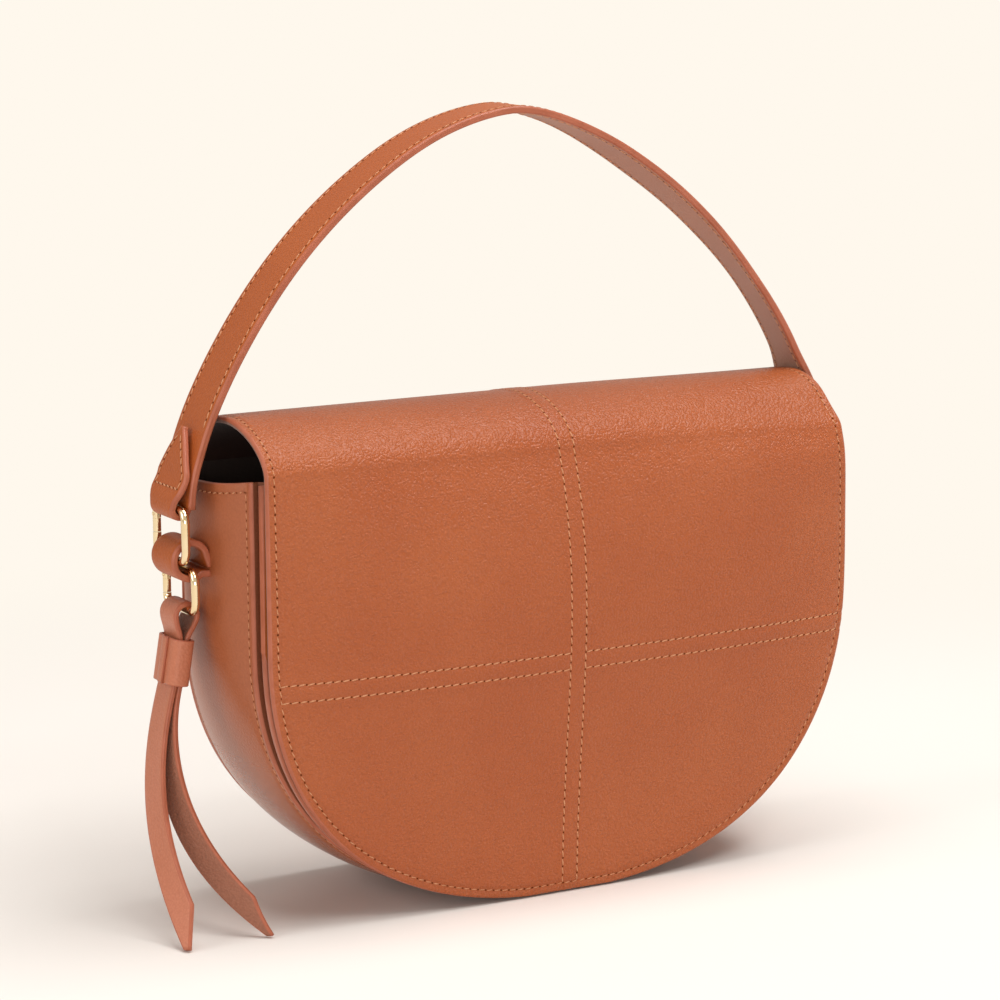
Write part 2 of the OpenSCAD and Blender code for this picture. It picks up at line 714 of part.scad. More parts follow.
// Tails: flat strips that fall, bow and turn, each along its own power curve
tail_steps = 16;
tail_x = neck_x - keeper_h * sin(keeper_lean);
tail_z = neck_z - keeper_h * cos(keeper_lean);
// Sideways reach, outward bow and forward reach of each tail, then the powers that shape them
outer_reach = -10;
outer_bow = -21;
outer_forward = 45.5;
outer_powers = [1.28, 2.56];
outer_turn = [-2, -4, -26];
inner_reach = 22;
inner_bow = -24;
inner_forward = 44.5;
inner_powers = [3.5, 1.89];
inner_turn = [10, -150, 98];
// Share of the length at which the slanted cut of a tail's end starts, and where the cut's
// front corner ends as a share of the half width
cut_share = 0.85;
tip_share = -0.6;
// One row across a tail, leaning with the keeper at the top and upright at the tip
function tail_row(s, ply, reach, bow, forward, powers, turn, side) = let (
    lean = keeper_lean * pow(1 - s, 2),
    angle = turn[0] * s + turn[1] * s * s + turn[2] * s * s * s,
    x0 = tail_x - ply * cos(keeper_lean) * tail_t / 2,
    z0 = tail_z + ply * sin(keeper_lean) * tail_t / 2,
    mid = [x0 + reach * pow(s, powers[0]) + bow * s * (1 - s), -forward * pow(s, powers[1]),
        z0 + (tip_h - z0) * s],
    along = [sin(angle), cos(angle), 0],
    out = [-cos(angle) * cos(lean), sin(angle) * cos(lean), sin(lean)] * side * tail_t / 2,
    cut = max(s - cut_share, 0) / (1 - cut_share),
    front = -(1 + (tip_share - 1) * cut) * tail_w / 2)
    [mid + along * front + out, mid + along * tail_w / 2 + out];
module tail(ply, reach, bow, forward, powers, turn) {
    steps = [for (k = [0 : tail_steps]) k / tail_steps];
    color("#ad6243") slab(
        [for (s = steps) tail_row(s, ply, reach, bow, forward, powers, turn, 1)],
        [for (s = steps) tail_row(s, ply, reach, bow, forward, powers, turn, -1)]);
}
module tail_outer() {
    tail(1, outer_reach, outer_bow, outer_forward, outer_powers, outer_turn);
}
module tail_inner() {
    tail(-1, inner_reach, inner_bow, inner_forward, inner_powers, inner_turn);
}

front_panel();
front_board();
front_lining();
front_band();
gusset();
gusset_lining();
back_panel();
back_board();
back_lining();
slip_pocket();
crown_back();
crown_back_lining();
crown_front();
crown_front_lining();
flap_front();
flap_padding();
flap_lining();
band_upright();
band_level();
band_crown_front();
band_crown_back();
snap_socket();
snap_socket_washer();
snap_stud();
snap_stud_washer();
tab_left();
tab_right();
strap_outer();
strap_lining();
strap_end_left();
strap_end_right();
ring_left();
ring_right();
gate_left();
gate_right();
gate_pin_left();
gate_pin_right();
tassel_ring();
tassel_gate();
tassel_gate_pin();
tassel_loop();
tassel_keeper();
tail_outer();
tail_inner();
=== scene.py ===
"""Half-moon leather shoulder bag on a cream studio floor.

Lengths are in millimetres and go through MM once, where a shape's corners are placed.
X runs across the bag, -Y is the flap's side and Z points up, as in the part's source.
"""
import math

import bmesh
import bpy
from mathutils import Matrix, Vector


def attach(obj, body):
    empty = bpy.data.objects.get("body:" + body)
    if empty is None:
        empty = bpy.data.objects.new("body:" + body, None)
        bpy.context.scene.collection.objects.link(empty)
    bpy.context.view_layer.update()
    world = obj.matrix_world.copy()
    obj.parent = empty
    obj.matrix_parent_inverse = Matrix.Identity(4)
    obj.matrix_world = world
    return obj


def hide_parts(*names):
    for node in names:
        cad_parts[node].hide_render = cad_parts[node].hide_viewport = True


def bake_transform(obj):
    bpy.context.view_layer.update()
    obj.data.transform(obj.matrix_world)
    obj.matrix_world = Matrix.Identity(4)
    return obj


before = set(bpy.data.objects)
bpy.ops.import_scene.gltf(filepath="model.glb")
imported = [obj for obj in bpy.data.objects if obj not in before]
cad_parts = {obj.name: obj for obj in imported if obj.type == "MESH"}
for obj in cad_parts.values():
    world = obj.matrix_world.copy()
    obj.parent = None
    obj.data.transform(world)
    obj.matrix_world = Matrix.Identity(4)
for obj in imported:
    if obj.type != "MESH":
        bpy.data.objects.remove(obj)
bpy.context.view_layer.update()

MM = 0.001
# the photo's width and height, for the camera's focal length
PHOTO_PIXELS = 1000

# ---------------------------------------------------------------- sizes from the part's source

FLAP_HALF = 125.0
FLAP_LOW = 0.6
FLAP_Y = -46.0
FLAP_T = 2.7
SKIN_T = 1.5
CURVE_H = 108.0
CURVE_POWER = 2.3
CURVE_START = 90.0 / 14
SHOULDER_H = 172.7
CROWN_TOP = 191.0
CROWN_Y = -12.0
CROWN_POWER = 1.8
SEAM_H = 92.8
SEAM_IN = 3.3
STITCH = 3.4
BACK_Y = 32.4
BACK_EDGE_H = 165.0
GUSSET_HALF = 30.0
RIM_FRONT_H = 169.4
RIM_DIP = 2.8
STRAP_W = 26.0
STRAP_T = 2.8
STRAP_REACH = 139.3
STRAP_RISE = 138.0
STRAP_POWER = 1.65
RING_TOP = 157.8
RING_W = 26.0
RING_H = 19.7
WIRE_D = 3.2
RING_X = STRAP_REACH + STRAP_T / 2 + 0.15 + WIRE_D / 2
PIVOT_H = RING_TOP - RING_H
TAB_ROOT = 131.0
TAB_HOLE_R = 5.4
TAB_T = 2.6
TAB_W = 19.5
SEAT = TAB_HOLE_R - WIRE_D / 2 - 0.1
TAB_X = RING_X - SEAT
TASSEL_RING_X = RING_X - WIRE_D - 0.2
TASSEL_RING_TOP = PIVOT_H - SEAT
TASSEL_RING_H = 15.4
LEAN = math.radians(9.7)
TAIL_W = 14.0
TAIL_T = 2.2
KEEPER_H = 17.5

# ---------------------------------------------------------------- the scene's own sizes

# the body in the photo is a little wider than the plain solids, and its gusset swells less
PANEL_HALF = 124.5
SWELL = 7.5
# the padding's fullness, and how far its border stands proud of the edge
PILLOW_H = 8.4
BORDER_H = 0.55
# the seam bands: from the middle to their stitches, their relief, and where it fades out
BAND_LINE = 3.2
BAND_RELIEF = 0.28
BAND_SHOULDERS = (4.3, 5.3)
# how far the flap has settled at its right end: sideways, then its corner back and down, and
# the top of its crown down
SAG_SIDE = 3.0
SAG_BACK = 4.2
SAG_DOWN = 3.2
SAG_TOP = 1.2
# rounded edge of the flap's leather, and of its lining
SKIN_ROUND = 1.3
LINING_ROUND = 0.5
LINING_IN = 0.25
# the gusset's seams, and its front edge
SEAM_Y = 28.0
GUSSET_FRONT = -31.5
GUSSET_ROUND = 1.1
RIM_ROUND = 0.45
# stitches: the turn of a thread in its line, the height at which a needle's hole is drawn, and
# the finer thread of the hems
SLANT = 11.0
HOLE_LIFT = 0.09
FINE_THREAD = {"length": 2.4, "radius": 0.24, "hole": 0.42}
STRAP_SEAM_IN = 2.9
TURNOVER_SEAM_IN = 2.6

ACROSS = Vector((0.0, 1.0, 0.0))
SIDEWAYS = Vector((1.0, 0.0, 0.0))


# ---------------------------------------------------------------- materials

def linear(code):
    """Scene colour of a colour written as in a web page."""
    parts = [int(code[i:i + 2], 16) / 255 for i in (1, 3, 5)]
    return [p / 12.92 if p <= 0.04045 else ((p + 0.055) / 1.055) ** 2.4 for p in parts] + [1.0]


class Nodes:
    """The nodes of a material or a world, added and linked in one line each."""

    def __init__(self, owner):
        owner.use_nodes = True
        self.owner = owner
        self.tree = owner.node_tree
        self.place = None

    def add(self, kind, **settings):
        node = self.tree.nodes.new("ShaderNode" + kind)
        for key, value in settings.items():
            if key in node.inputs:
                node.inputs[key].default_value = value
            else:
                setattr(node, key, value)
        return node

    def feed(self, socket, value):
        """Sets a socket to a constant, or links it to another node's socket."""
        if isinstance(value, (list, float)):
            socket.default_value = value
        elif value is not None:
            self.tree.links.new(value, socket)

    def spot(self):
        """The point on the object, from which all its patterns are made."""
        if self.place is None:
            self.place = self.add("TexCoord").outputs["Object"]
        return self.place

    def math(self, operation, first, second):
        node = self.add("Math", operation=operation)
        self.feed(node.inputs[0], first)
        self.feed(node.inputs[1], second)
        return node.outputs[0]

    def noise(self, scale, detail=3.0, rough=0.55):
        node = self.add("TexNoise", Scale=scale, Detail=detail, Roughness=rough)
        self.feed(node.inputs["Vector"], self.spot())
        return node.outputs["Fac"]

    def cells(self, scale):
        node = self.add("TexVoronoi", feature="SMOOTH_F1", Scale=scale)
        self.feed(node.inputs["Vector"], self.spot())
        return node.outputs["Distance"]

    def threads(self, scale, direction):
        node = self.add("TexWave", Scale=scale, Distortion=0.6, bands_direction=direction)
        self.feed(node.inputs["Vector"], self.spot())
        return node.outputs["Fac"]

    def between(self, value, low, high, first=0.0, last=1.0):
        """A value that goes from first to last while another goes from low to high."""
        node = self.add("MapRange", clamp=True)
        for name, number in (("From Min", low), ("From Max", high), ("To Min", first),
                             ("To Max", last)):
            node.inputs[name].default_value = number
        self.feed(node.inputs["Value"], value)
        return node.outputs["Result"]

    def mix(self, share, first, second):
        """first where share is 0 and second where it is 1."""
        node = self.add("Mix", data_type="RGBA")
        self.feed(node.inputs["Factor"], share)
        for side, colour in (("A", first), ("B", second)):
            self.feed([i for i in node.inputs if i.name == side and i.type == "RGBA"][0], colour)
        return [o for o in node.outputs if o.type == "RGBA"][0]

    def patches(self, scale, detail, low, high, tone, other):
        """Two tones in soft patches."""
        return self.mix(self.between(self.noise(scale, detail), low, high), linear(tone),
                        linear(other))

    def bump(self, height, strength, distance, under=None):
        node = self.add("Bump", Strength=strength, Distance=distance)
        self.feed(node.inputs["Height"], height)
        self.feed(node.inputs["Normal"], under)
        return node.outputs["Normal"]

    def finish(self, colour, rough, normal, **sockets):
        inputs = self.tree.nodes["Principled BSDF"].inputs
        self.feed(inputs["Base Color"], colour)
        self.feed(inputs["Roughness"], rough)
        self.feed(inputs["Normal"], normal)
        for key, value in sockets.items():
            inputs[key.replace("_", " ")].default_value = value
        return self.owner

    def show_to_camera(self, lit, seen, where=None):
        """What the camera sees, and half of what mirrors see, in place of what lights the bag."""
        path = self.add("LightPath").outputs
        share = self.math("MAXIMUM", path["Is Camera Ray"],
                          self.math("MULTIPLY", path["Is Glossy Ray"], GLOSSY_SHARE))
        if where is not None:
            share = self.math("MULTIPLY", share, where)
        blend = self.add("MixShader")
        for socket, value in zip(blend.inputs, (share, lit, seen)):
            self.feed(socket, value)
        return blend.outputs[0]


def material_nodes(name):
    return Nodes(bpy.data.materials.new(name))


def grained_leather(name, tone, deep, light, grain, rough, gloss, shine=None):
    """Finished cowhide: fine pebbles, finer pores, and slow changes of tone. With shine, its
    roughness goes from shine[2] at height shine[0] to shine[3] at shine[1], in metres."""
    n = material_nodes(name)
    clouds = n.noise(14.0, 4.0)
    creases = n.between(n.cells(1200.0), 0.0, 0.75)
    tint = n.mix(n.between(clouds, 0.36, 0.64), linear(tone), linear(light))
    colour = n.mix(n.between(creases, 0.1, 2.6), tint, linear(deep))
    relief = n.bump(creases, grain, -0.00042, n.bump(n.noise(5200.0, 2.0), 0.15, 0.00006))
    if shine:
        height = n.add("SeparateXYZ")
        n.feed(height.inputs[0], n.spot())
        roughness = n.between(height.outputs["Z"], *shine)
    else:
        roughness = n.between(clouds, 0.0, 1.0, rough - 0.04, rough + 0.05)
    return n.finish(colour, roughness, relief, Specular_IOR_Level=gloss)


def painted_edge(name, tone, deep):
    """Edge paint: smooth, a little glossy, with the faint runs of the brush."""
    n = material_nodes(name)
    return n.finish(n.patches(90.0, 3.0, 0.38, 0.66, tone, deep), 0.36,
                    n.bump(n.noise(700.0, 2.0), 0.12, 0.0002), Specular_IOR_Level=0.35)


def napped_lining(name, tone, light, nap=0.2):
    """Suede side of a lining: short nap with soft patches."""
    n = material_nodes(name)
    return n.finish(n.patches(45.0, 4.0, 0.35, 0.65, tone, light), 0.85,
                    n.bump(n.noise(2600.0, 3.0), 0.4, 0.0002), Sheen_Weight=nap,
                    Specular_IOR_Level=0.15)


def woven_cloth(name, tone, light):
    """Lining cloth with crossing threads."""
    n = material_nodes(name)
    cross = n.math("MULTIPLY", n.threads(620.0, "X"), n.threads(620.0, "Z"))
    return n.finish(n.mix(cross, linear(tone), linear(light)), 0.8, n.bump(cross, 0.3, 0.0002),
                    Sheen_Weight=0.05, Specular_IOR_Level=0.15)


def waxed_thread(name, tone, light, rough=0.55, gloss=0.3):
    n = material_nodes(name)
    twist = n.noise(2400.0, 2.0)
    colour = n.mix(n.between(twist, 0.4, 0.6), linear(tone), linear(light))
    return n.finish(colour, rough, n.bump(twist, 0.3, 0.0001), Specular_IOR_Level=gloss)


def polished_metal(name, tone, light):
    """Plated wire with faint polish marks."""
    n = material_nodes(name)
    return n.finish(n.patches(120.0, 2.0, 0.35, 0.65, tone, light),
                    n.between(n.noise(160.0, 3.0), 0.0, 1.0, 0.09, 0.14), None, Metallic=1.0)


# the share of the bright background that mirrors on the bag show
GLOSSY_SHARE = 0.5

LEATHER = grained_leather("tan leather", "#A65328", "#8D421E", "#AD5B2F", 1.0, 0.36, 0.34)
SMOOTH = grained_leather("smooth tan leather", "#AC5522", "#90431C", "#B35C29", 0.3, 0.45, 0.22)
TASSEL = grained_leather("tassel leather", "#BC7152", "#A25A3F", "#C47A5D", 0.3, 0.42, 0.32)
GUSSET = grained_leather("gusset leather", "#A1562F", "#884424", "#A85C35", 0.22, 0.42, 0.5,
                         shine=(0.05, 0.13, 0.24, 0.52))
FLESH = grained_leather("leather lining of the strap", "#A66C52", "#96604A", "#B0775C", 0.3, 0.5,
                        0.35)
TAIL_BACK = grained_leather("tail's flesh side", "#9A624B", "#83503C", "#A56D56", 0.8, 0.55, 0.3)
# the recess's folded leather, darker than the rest of the leather as painted shade of the channel
RECESS_SHADE = grained_leather("folded leather in the recess, darkened as painted shade", "#7A4228", "#5F301C", "#7F472C", 0.15,
                       0.55, 0.3)
EDGE = painted_edge("edge paint", "#AF6348", "#A2583D")
SUEDE = napped_lining("suede lining", "#33201A", "#3E2820", nap=0.08)
RIM = napped_lining("lining's edge", "#7A5546", "#866152")
CLOTH = woven_cloth("lining cloth", "#2C211C", "#3D302A")
THREAD = waxed_thread("waxed thread", "#BF8058", "#CE956F")
# dark, matt dots that stand in for the shade inside the needle holes
HOLE_SHADE = waxed_thread("painted shade of a needle hole", "#5E2C15", "#6A341A", rough=0.95, gloss=0.02)
GOLD = polished_metal("light gold", "#EFD8AC", "#F3DFB8")
STEEL = polished_metal("washer steel", "#B9B9B6", "#CFCFCA")
BOARD = napped_lining("stiffening board", "#8D8577", "#9A9283")


# ---------------------------------------------------------------- making pieces

def grid(columns, rows, place, closed=False):
    """A mesh of columns by rows quads whose corners go to place(column, row), in millimetres."""
    bm = bmesh.new()
    bmesh.ops.create_grid(bm, x_segments=columns, y_segments=rows, size=1.0)
    lows = [min(v.co[k] for v in bm.verts) for k in (0, 1)]
    spans = [max(v.co[k] for v in bm.verts) - lows[k] for k in (0, 1)]
    row_of = bm.verts.layers.int.new("row")
    column_of = bm.verts.layers.int.new("column")
    for v in bm.verts:
        i = round((v.co.x - lows[0]) / spans[0] * columns)
        j = round((v.co.y - lows[1]) / spans[1] * rows)
        if closed and i == columns:
            i = 0
        v[row_of] = j
        v[column_of] = i
        v.co = Vector(place(i, j)) * MM
    bmesh.ops.remove_doubles(bm, verts=bm.verts, dist=1e-8)
    return bm


def face_row(bm, face):
    """The row of a grid that a face lies in."""
    return min(v[bm.verts.layers.int["row"]] for v in face.verts)


def face_column(bm, face, columns):
    """The column that a face lies in. In a closed grid the last one runs from the last corner back
    to the first."""
    found = [v[bm.verts.layers.int["column"]] for v in face.verts]
    return columns - 1 if max(found) - min(found) > 1 else min(found)


def add_piece(name, bm, materials, body=None, stands_for=(), normals=None):
    """The finished object of a mesh, smooth shaded, riding on its body."""
    mesh = bpy.data.meshes.new(name)
    bm.to_mesh(mesh)
    bm.free()
    mesh.shade_smooth()
    for material in materials:
        mesh.materials.append(material)
    if normals:
        mesh.normals_split_custom_set_from_vertices(normals)
    piece = bpy.data.objects.new(name, mesh)
    bpy.context.scene.collection.objects.link(piece)
    if stands_for:
        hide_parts(*stands_for)
    if body:
        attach(piece, body)
    return piece


def join(parts):
    """One mesh from several, which are used up."""
    whole = bmesh.new()
    spare = bpy.data.meshes.new("spare")
    for part in parts:
        part.to_mesh(spare)
        part.free()
        whole.from_mesh(spare)
    bpy.data.meshes.remove(spare)
    return whole


def outline_point(half, low, angle):
    """Point (x, z) of the right half of a rounded panel's edge. Its straight side begins at 90
    degrees, and CURVE_START is the end of its level foot."""
    a = math.radians(angle)
    start = math.radians(CURVE_START)
    p = 2 / CURVE_POWER
    return (half * math.sin(a) ** p,
            low + CURVE_H * (math.cos(start) ** p - max(math.cos(a), 0.0) ** p))


def curve_share(low, z):
    """How far down a rounded panel's curve a height is; not over 0 beside its straight sides."""
    return math.cos(math.radians(CURVE_START)) ** (2 / CURVE_POWER) - (z - low) / CURVE_H


def half_width(half, low, z):
    """Half width of a rounded panel at a height."""
    share = curve_share(low, z)
    if share <= 0:
        return half
    return half * max(1 - share ** CURVE_POWER, 0.0) ** (1 / CURVE_POWER)


def edge_distance(half, low, x, z):
    """How far inside a rounded panel's edge a point lies, close to that edge."""
    share = curve_share(low, z)
    if share <= 0:
        return half - abs(x)
    value = (abs(x) / half) ** CURVE_POWER + share ** CURVE_POWER
    slope = CURVE_POWER * math.hypot((abs(x) / half) ** (CURVE_POWER - 1) / half,
                                     share ** (CURVE_POWER - 1) / CURVE_H)
    return min((1 - value) / max(slope, 1e-6), z - low)


def inset_point(half, low, angle, inset, before, after):
    """Point of a rounded panel's edge, moved in square to the edge between two angles."""
    x1, z1 = outline_point(half, low, before)
    x2, z2 = outline_point(half, low, after)
    along = Vector((x2 - x1, z2 - z1)).normalized()
    return Vector(outline_point(half, low, angle)) + Vector((-along.y, along.x)) * inset


def smooth_step(value, low, high):
    """0 below low and 1 above high, with a smooth rise between them."""
    t = min(max((value - low) / (high - low), 0.0), 1.0)
    return t * t * (3 - 2 * t)


def groove(distance, depth=0.32, width=0.75):
    """Dip that a line of stitches presses into leather, at a distance from the line."""
    return depth * math.exp(-(distance / width) ** 2)


def towards(normal, outward):
    """The normal, turned round where it points away from outward."""
    return normal if normal.dot(outward) > 0 else -normal


def ray(angle):
    """Direction at an angle in degrees from +X, in the plane of X and Z."""
    a = math.radians(angle)
    return Vector((math.cos(a), 0, math.sin(a)))


def on_side(bm, side):
    """A mesh made for the bag's right side, mirrored where side is -1."""
    if side < 0:
        bm.transform(Matrix.Scale(-1, 4, SIDEWAYS))
        bmesh.ops.reverse_faces(bm, faces=bm.faces)
    return bm


def paint_edges(bm, columns, side, first_row):
    """Edge paint on a ply's outer columns, and on its rows from first_row down."""
    for face in bm.faces:
        c = face_column(bm, face, columns)
        rim = c < side or c >= columns - side or face_row(bm, face) >= first_row
        face.material_index = 1 if rim else 0


def rounding(distance, radius):
    """Drop of a rounded edge at a distance from it."""
    t = min(max(distance / radius, 0.0), 1.0)
    return radius * (1 - math.sqrt(max(1 - (1 - t) ** 2, 0.0)))


# ---------------------------------------------------------------- flap and crown

# steps between the flap's rows: in degrees over the crown, in height down the front, in degrees
# round its curve, and the least height between two rows
CROWN_STEP = 3
FRONT_STEP = 2.6
CURVE_STEP = 1.2
LEAST_STEP = 0.12


def flap_profile():
    """Points (y, z) and outward normals down the middle of the flap's outer leather, from the hem
    behind the handle over the crown to the lowest edge."""
    points = []
    for k in range(90 // CROWN_STEP):
        a = math.radians(90 - CROWN_STEP * k)
        points.append((CROWN_Y + (BACK_Y - CROWN_Y) * math.sin(a),
                       BACK_EDGE_H + (CROWN_TOP - BACK_EDGE_H) * math.cos(a)))
    p = 2 / CROWN_POWER
    for k in range(90 // CROWN_STEP + 1):
        a = math.radians(90 - CROWN_STEP * k)
        points.append((CROWN_Y + (FLAP_Y - CROWN_Y) * max(math.cos(a), 0.0) ** p,
                       SHOULDER_H + (CROWN_TOP - SHOULDER_H) * math.sin(a) ** p))
    heights = [SHOULDER_H - FRONT_STEP * k for k in range(1, 26)]
    heights += [outline_point(FLAP_HALF, FLAP_LOW, 90 - CURVE_STEP * k)[1] for k in range(70)]
    heights += [SEAM_H + side * (BAND_LINE + step) for side in (-1, 1)
                for step in (-0.7, 0, 0.7, 1.6)]
    spaced = []
    for h in sorted((h for h in heights if h > FLAP_LOW + 0.1), reverse=True):
        if not spaced or spaced[-1] - h > LEAST_STEP:
            spaced.append(h)
    points += [(FLAP_Y, h) for h in spaced + [FLAP_LOW]]
    rows = []
    for k, point in enumerate(points):
        before = Vector(points[max(k - 1, 0)])
        after = Vector(points[min(k + 1, len(points) - 1)])
        along = (after - before).normalized()
        normal = Vector((along.y, -along.x))
        if k <= 1:
            normal = Vector((1.0, 0.0))
        if point[0] == FLAP_Y and point[1] < SHOULDER_H:
            normal = Vector((-1.0, 0.0))
        rows.append((Vector(point), normal))
    return rows


FLAP_ROWS = flap_profile()
# the row at which the crown's piece ends and the front's begins
SPLIT_ROW = 52


def from_flap_edge(x, z, crown):
    """How far inside the flap's edge a point lies."""
    return FLAP_HALF - abs(x) if crown else edge_distance(FLAP_HALF, FLAP_LOW, x, z)


def pillow(x, z):
    """How far the padded front stands out: fullest above its middle, and level at its border."""
    share = min(abs(x) / max(half_width(FLAP_HALF, FLAP_LOW, z), 1e-6), 1.0)
    rise = min(max((z - FLAP_LOW) / (SHOULDER_H - FLAP_LOW), 0.0), 1.0)
    swell = PILLOW_H * (1 - share ** 2.6) * math.sin(math.pi * rise ** 1.7)
    inside = from_flap_edge(x, z, False)
    border = BORDER_H * smooth_step(inside, 2.6, 6.0) * smooth_step(SHOULDER_H - z, 0.0, 14.0)
    return swell + border


def band_relief(distance):
    """Height of a seam band at a distance from its middle line."""
    return BAND_RELIEF * (1 - smooth_step(abs(distance), *BAND_SHOULDERS))


def pressed(x, z, crown):
    """The seam bands' relief, less the grooves under the lines of stitches."""
    lines = (-BAND_LINE, BAND_LINE)
    drop = sum(groove(x - line) for line in lines)
    relief = band_relief(x)
    if not crown:
        for line in lines:
            drop += groove(z - SEAM_H - line) * smooth_step(abs(x), 3, 5)
        relief = max(relief, band_relief(z - SEAM_H))
    inside = from_flap_edge(x, z, crown)
    drop += groove(inside - SEAM_IN, depth=0.3, width=0.8)
    return relief * smooth_step(inside, 1.0, 3.0) - drop


def sagged(x, y, z):
    """The crown's leather has settled towards its right end, where the corner is rounder."""
    share = smooth_step(x, 10.0, FLAP_HALF)
    corner = math.exp(-((y - FLAP_Y - 4) / 14) ** 2) * math.exp(-((z - SHOULDER_H - 6) / 13) ** 2)
    top = smooth_step(z, SHOULDER_H, CROWN_TOP) * smooth_step(-y, -26.0, 6.0)
    wide = SAG_SIDE * share * smooth_step(z, 35.0, 125.0) * (1 - 0.55 * top)
    return Vector((x + wide, y + SAG_BACK * share * corner,
                   z - share * (SAG_DOWN * corner + SAG_TOP * top)))


def on_flap(x, row, lift=0.0):
    """Point of the flap's outer leather at a width and a row, lifted along the row's normal."""
    point, normal = row
    crown = point.y >= SHOULDER_H
    height = lift + pressed(x, point.y, crown) + (0.0 if crown else pillow(x, point.y))
    return sagged(x, point.x + normal.x * height, point.y + normal.y * height)


# columns of the leather, close together at its edges and at the upright band
EDGE_STEPS = [0.0, 0.0, 0.12, 0.3, 0.6, 1.0, 1.6, 2.3, 2.8, 3.3, 3.8, 4.4, 5.2, 6.2, 8.0, 10.5]
MIDDLE_STEPS = [0.0, 1.3, 2.4, 2.8, 3.2, 3.6, 4.0, 4.5, 5.0, 5.6, 7.0]
BETWEEN = 16
# and of its lining, from the edge in
LINING_STEPS = [0.0, 0.0, 0.15, 0.4, 0.8, 2.0, 5.0]
# a row narrower than this, in half width, draws its columns together
FULL_HALF = 60


def both_halves(side):
    """Widths from left to right, from those of the right half."""
    return [-x for x in side[:0:-1]] + side


def skin_widths(half):
    """Widths of the leather's columns in a row of a half width."""
    tight = min(half / FULL_HALF, 1.0)
    outer = [half - d * tight for d in EDGE_STEPS]
    inner = [d * tight for d in MIDDLE_STEPS]
    low, high = inner[-1], outer[-1]
    middle = [low + (high - low) * k / BETWEEN for k in range(1, BETWEEN)]
    return both_halves(inner + middle + outer[::-1])


def lining_widths(half):
    """Widths of the lining's columns in a row of a half width."""
    outer = [half - LINING_IN - d * min(half / FULL_HALF, 1.0) for d in LINING_STEPS]
    return both_halves([outer[-1] * k / 12 for k in range(12)] + outer[::-1])


def flap_row(j):
    """A row's point and normal, whether it is on the crown, and its half width."""
    point, normal = FLAP_ROWS[min(j, len(FLAP_ROWS) - 1)]
    crown = point.y >= SHOULDER_H
    return point, normal, crown, FLAP_HALF if crown else half_width(FLAP_HALF, FLAP_LOW, point.y)


def flap_skin():
    """The flap's outer leather, from the back hem over the crown to the lowest edge."""
    columns, rows = len(skin_widths(FLAP_HALF)) - 1, len(FLAP_ROWS)
    wall = SKIN_T - 0.05

    def place(i, j):
        point, normal, crown, half = flap_row(j)
        x = skin_widths(half)[i]
        if i in (0, columns) or j >= rows:
            return sagged(x, point.x - normal.x * wall, point.y - normal.y * wall)
        drop = rounding(from_flap_edge(x, point.y, crown), SKIN_ROUND)
        return on_flap(x, (point, normal), -drop)

    bm = grid(columns, rows, place)
    paint_edges(bm, columns, side=5, first_row=rows - 2)
    return bm


def flap_back():
    """The lining ply under it, with its own rounded edge."""
    columns, rows = len(lining_widths(FLAP_HALF)) - 1, len(FLAP_ROWS)

    def place(i, j):
        point, normal, crown, half = flap_row(j)
        x = lining_widths(half)[i]
        low = Vector((point.x, max(point.y, FLAP_LOW + LINING_IN)))
        inside = FLAP_HALF - LINING_IN - abs(x)
        if not crown:
            inside = min(half - LINING_IN - abs(x), low.y - FLAP_LOW - LINING_IN)
        depth = FLAP_T - rounding(inside, LINING_ROUND)
        if i in (0, columns) or j >= rows:
            depth = SKIN_T - 0.05
        return sagged(x, low.x - normal.x * depth, low.y - normal.y * depth)

    bm = grid(columns, rows, place)
    paint_edges(bm, columns, side=3, first_row=rows - 1)
    return bm


def whole_and_split(bm, row):
    """Two copies of a mesh, cut at a row, with the normals that the whole one has."""
    bm.normal_update()
    kept = bm.verts.layers.float_vector.new("whole_normal")
    for v in bm.verts:
        v[kept] = v.normal
    halves = []
    for above in (True, False):
        half = bm.copy()
        gone = [f for f in half.faces if (face_row(half, f) < row) != above]
        bmesh.ops.delete(half, geom=gone, context="FACES")
        layer = half.verts.layers.float_vector["whole_normal"]
        halves.append((half, [tuple(v[layer]) for v in half.verts]))
    bm.free()
    return halves


def face_outwards(bm, sample, wanted):
    """Turns the mesh's faces round if the face nearest to sample doesn't look along wanted."""
    bm.faces.ensure_lookup_table()
    bm.normal_update()
    nearest = min(bm.faces, key=lambda f: (f.calc_center_median() / MM - Vector(sample)).length)
    if nearest.normal.dot(Vector(wanted)) < 0:
        bmesh.ops.reverse_faces(bm, faces=bm.faces)
    return bm


def blend_crown(piece):
    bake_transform(piece)


def blend_flap(piece):
    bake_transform(piece)


def make_flap():
    skin = face_outwards(flap_skin(), (60, FLAP_Y - 4, 60), (0, -1, 0))
    (crown, crown_normals), (front, front_normals) = whole_and_split(skin, SPLIT_ROW)
    piece = add_piece("crown_leather", crown, [LEATHER, EDGE],
                      stands_for=("crown_back", "crown_front", "band_crown_back",
                                  "band_crown_front"), normals=crown_normals)
    blend_crown(piece)
    piece = add_piece("flap_leather", front, [LEATHER, EDGE],
                      stands_for=("flap_front", "flap_padding", "band_upright", "band_level"),
                      normals=front_normals)
    blend_flap(piece)
    back = face_outwards(flap_back(), (60, FLAP_Y + FLAP_T, 60), (0, 1, 0))
    (crown, crown_normals), (front, front_normals) = whole_and_split(back, SPLIT_ROW)
    piece = add_piece("crown_suede", crown, [SUEDE, RIM],
                      stands_for=("crown_back_lining", "crown_front_lining"),
                      normals=crown_normals)
    blend_crown(piece)
    piece = add_piece("flap_suede", front, [SUEDE, RIM],
                      stands_for=("flap_lining",), normals=front_normals)
    blend_flap(piece)


# ---------------------------------------------------------------- stitches

# no two corners or faces of a bead lie equally far along this
ORDER = Vector((1.0, 37.1, 1411.3))


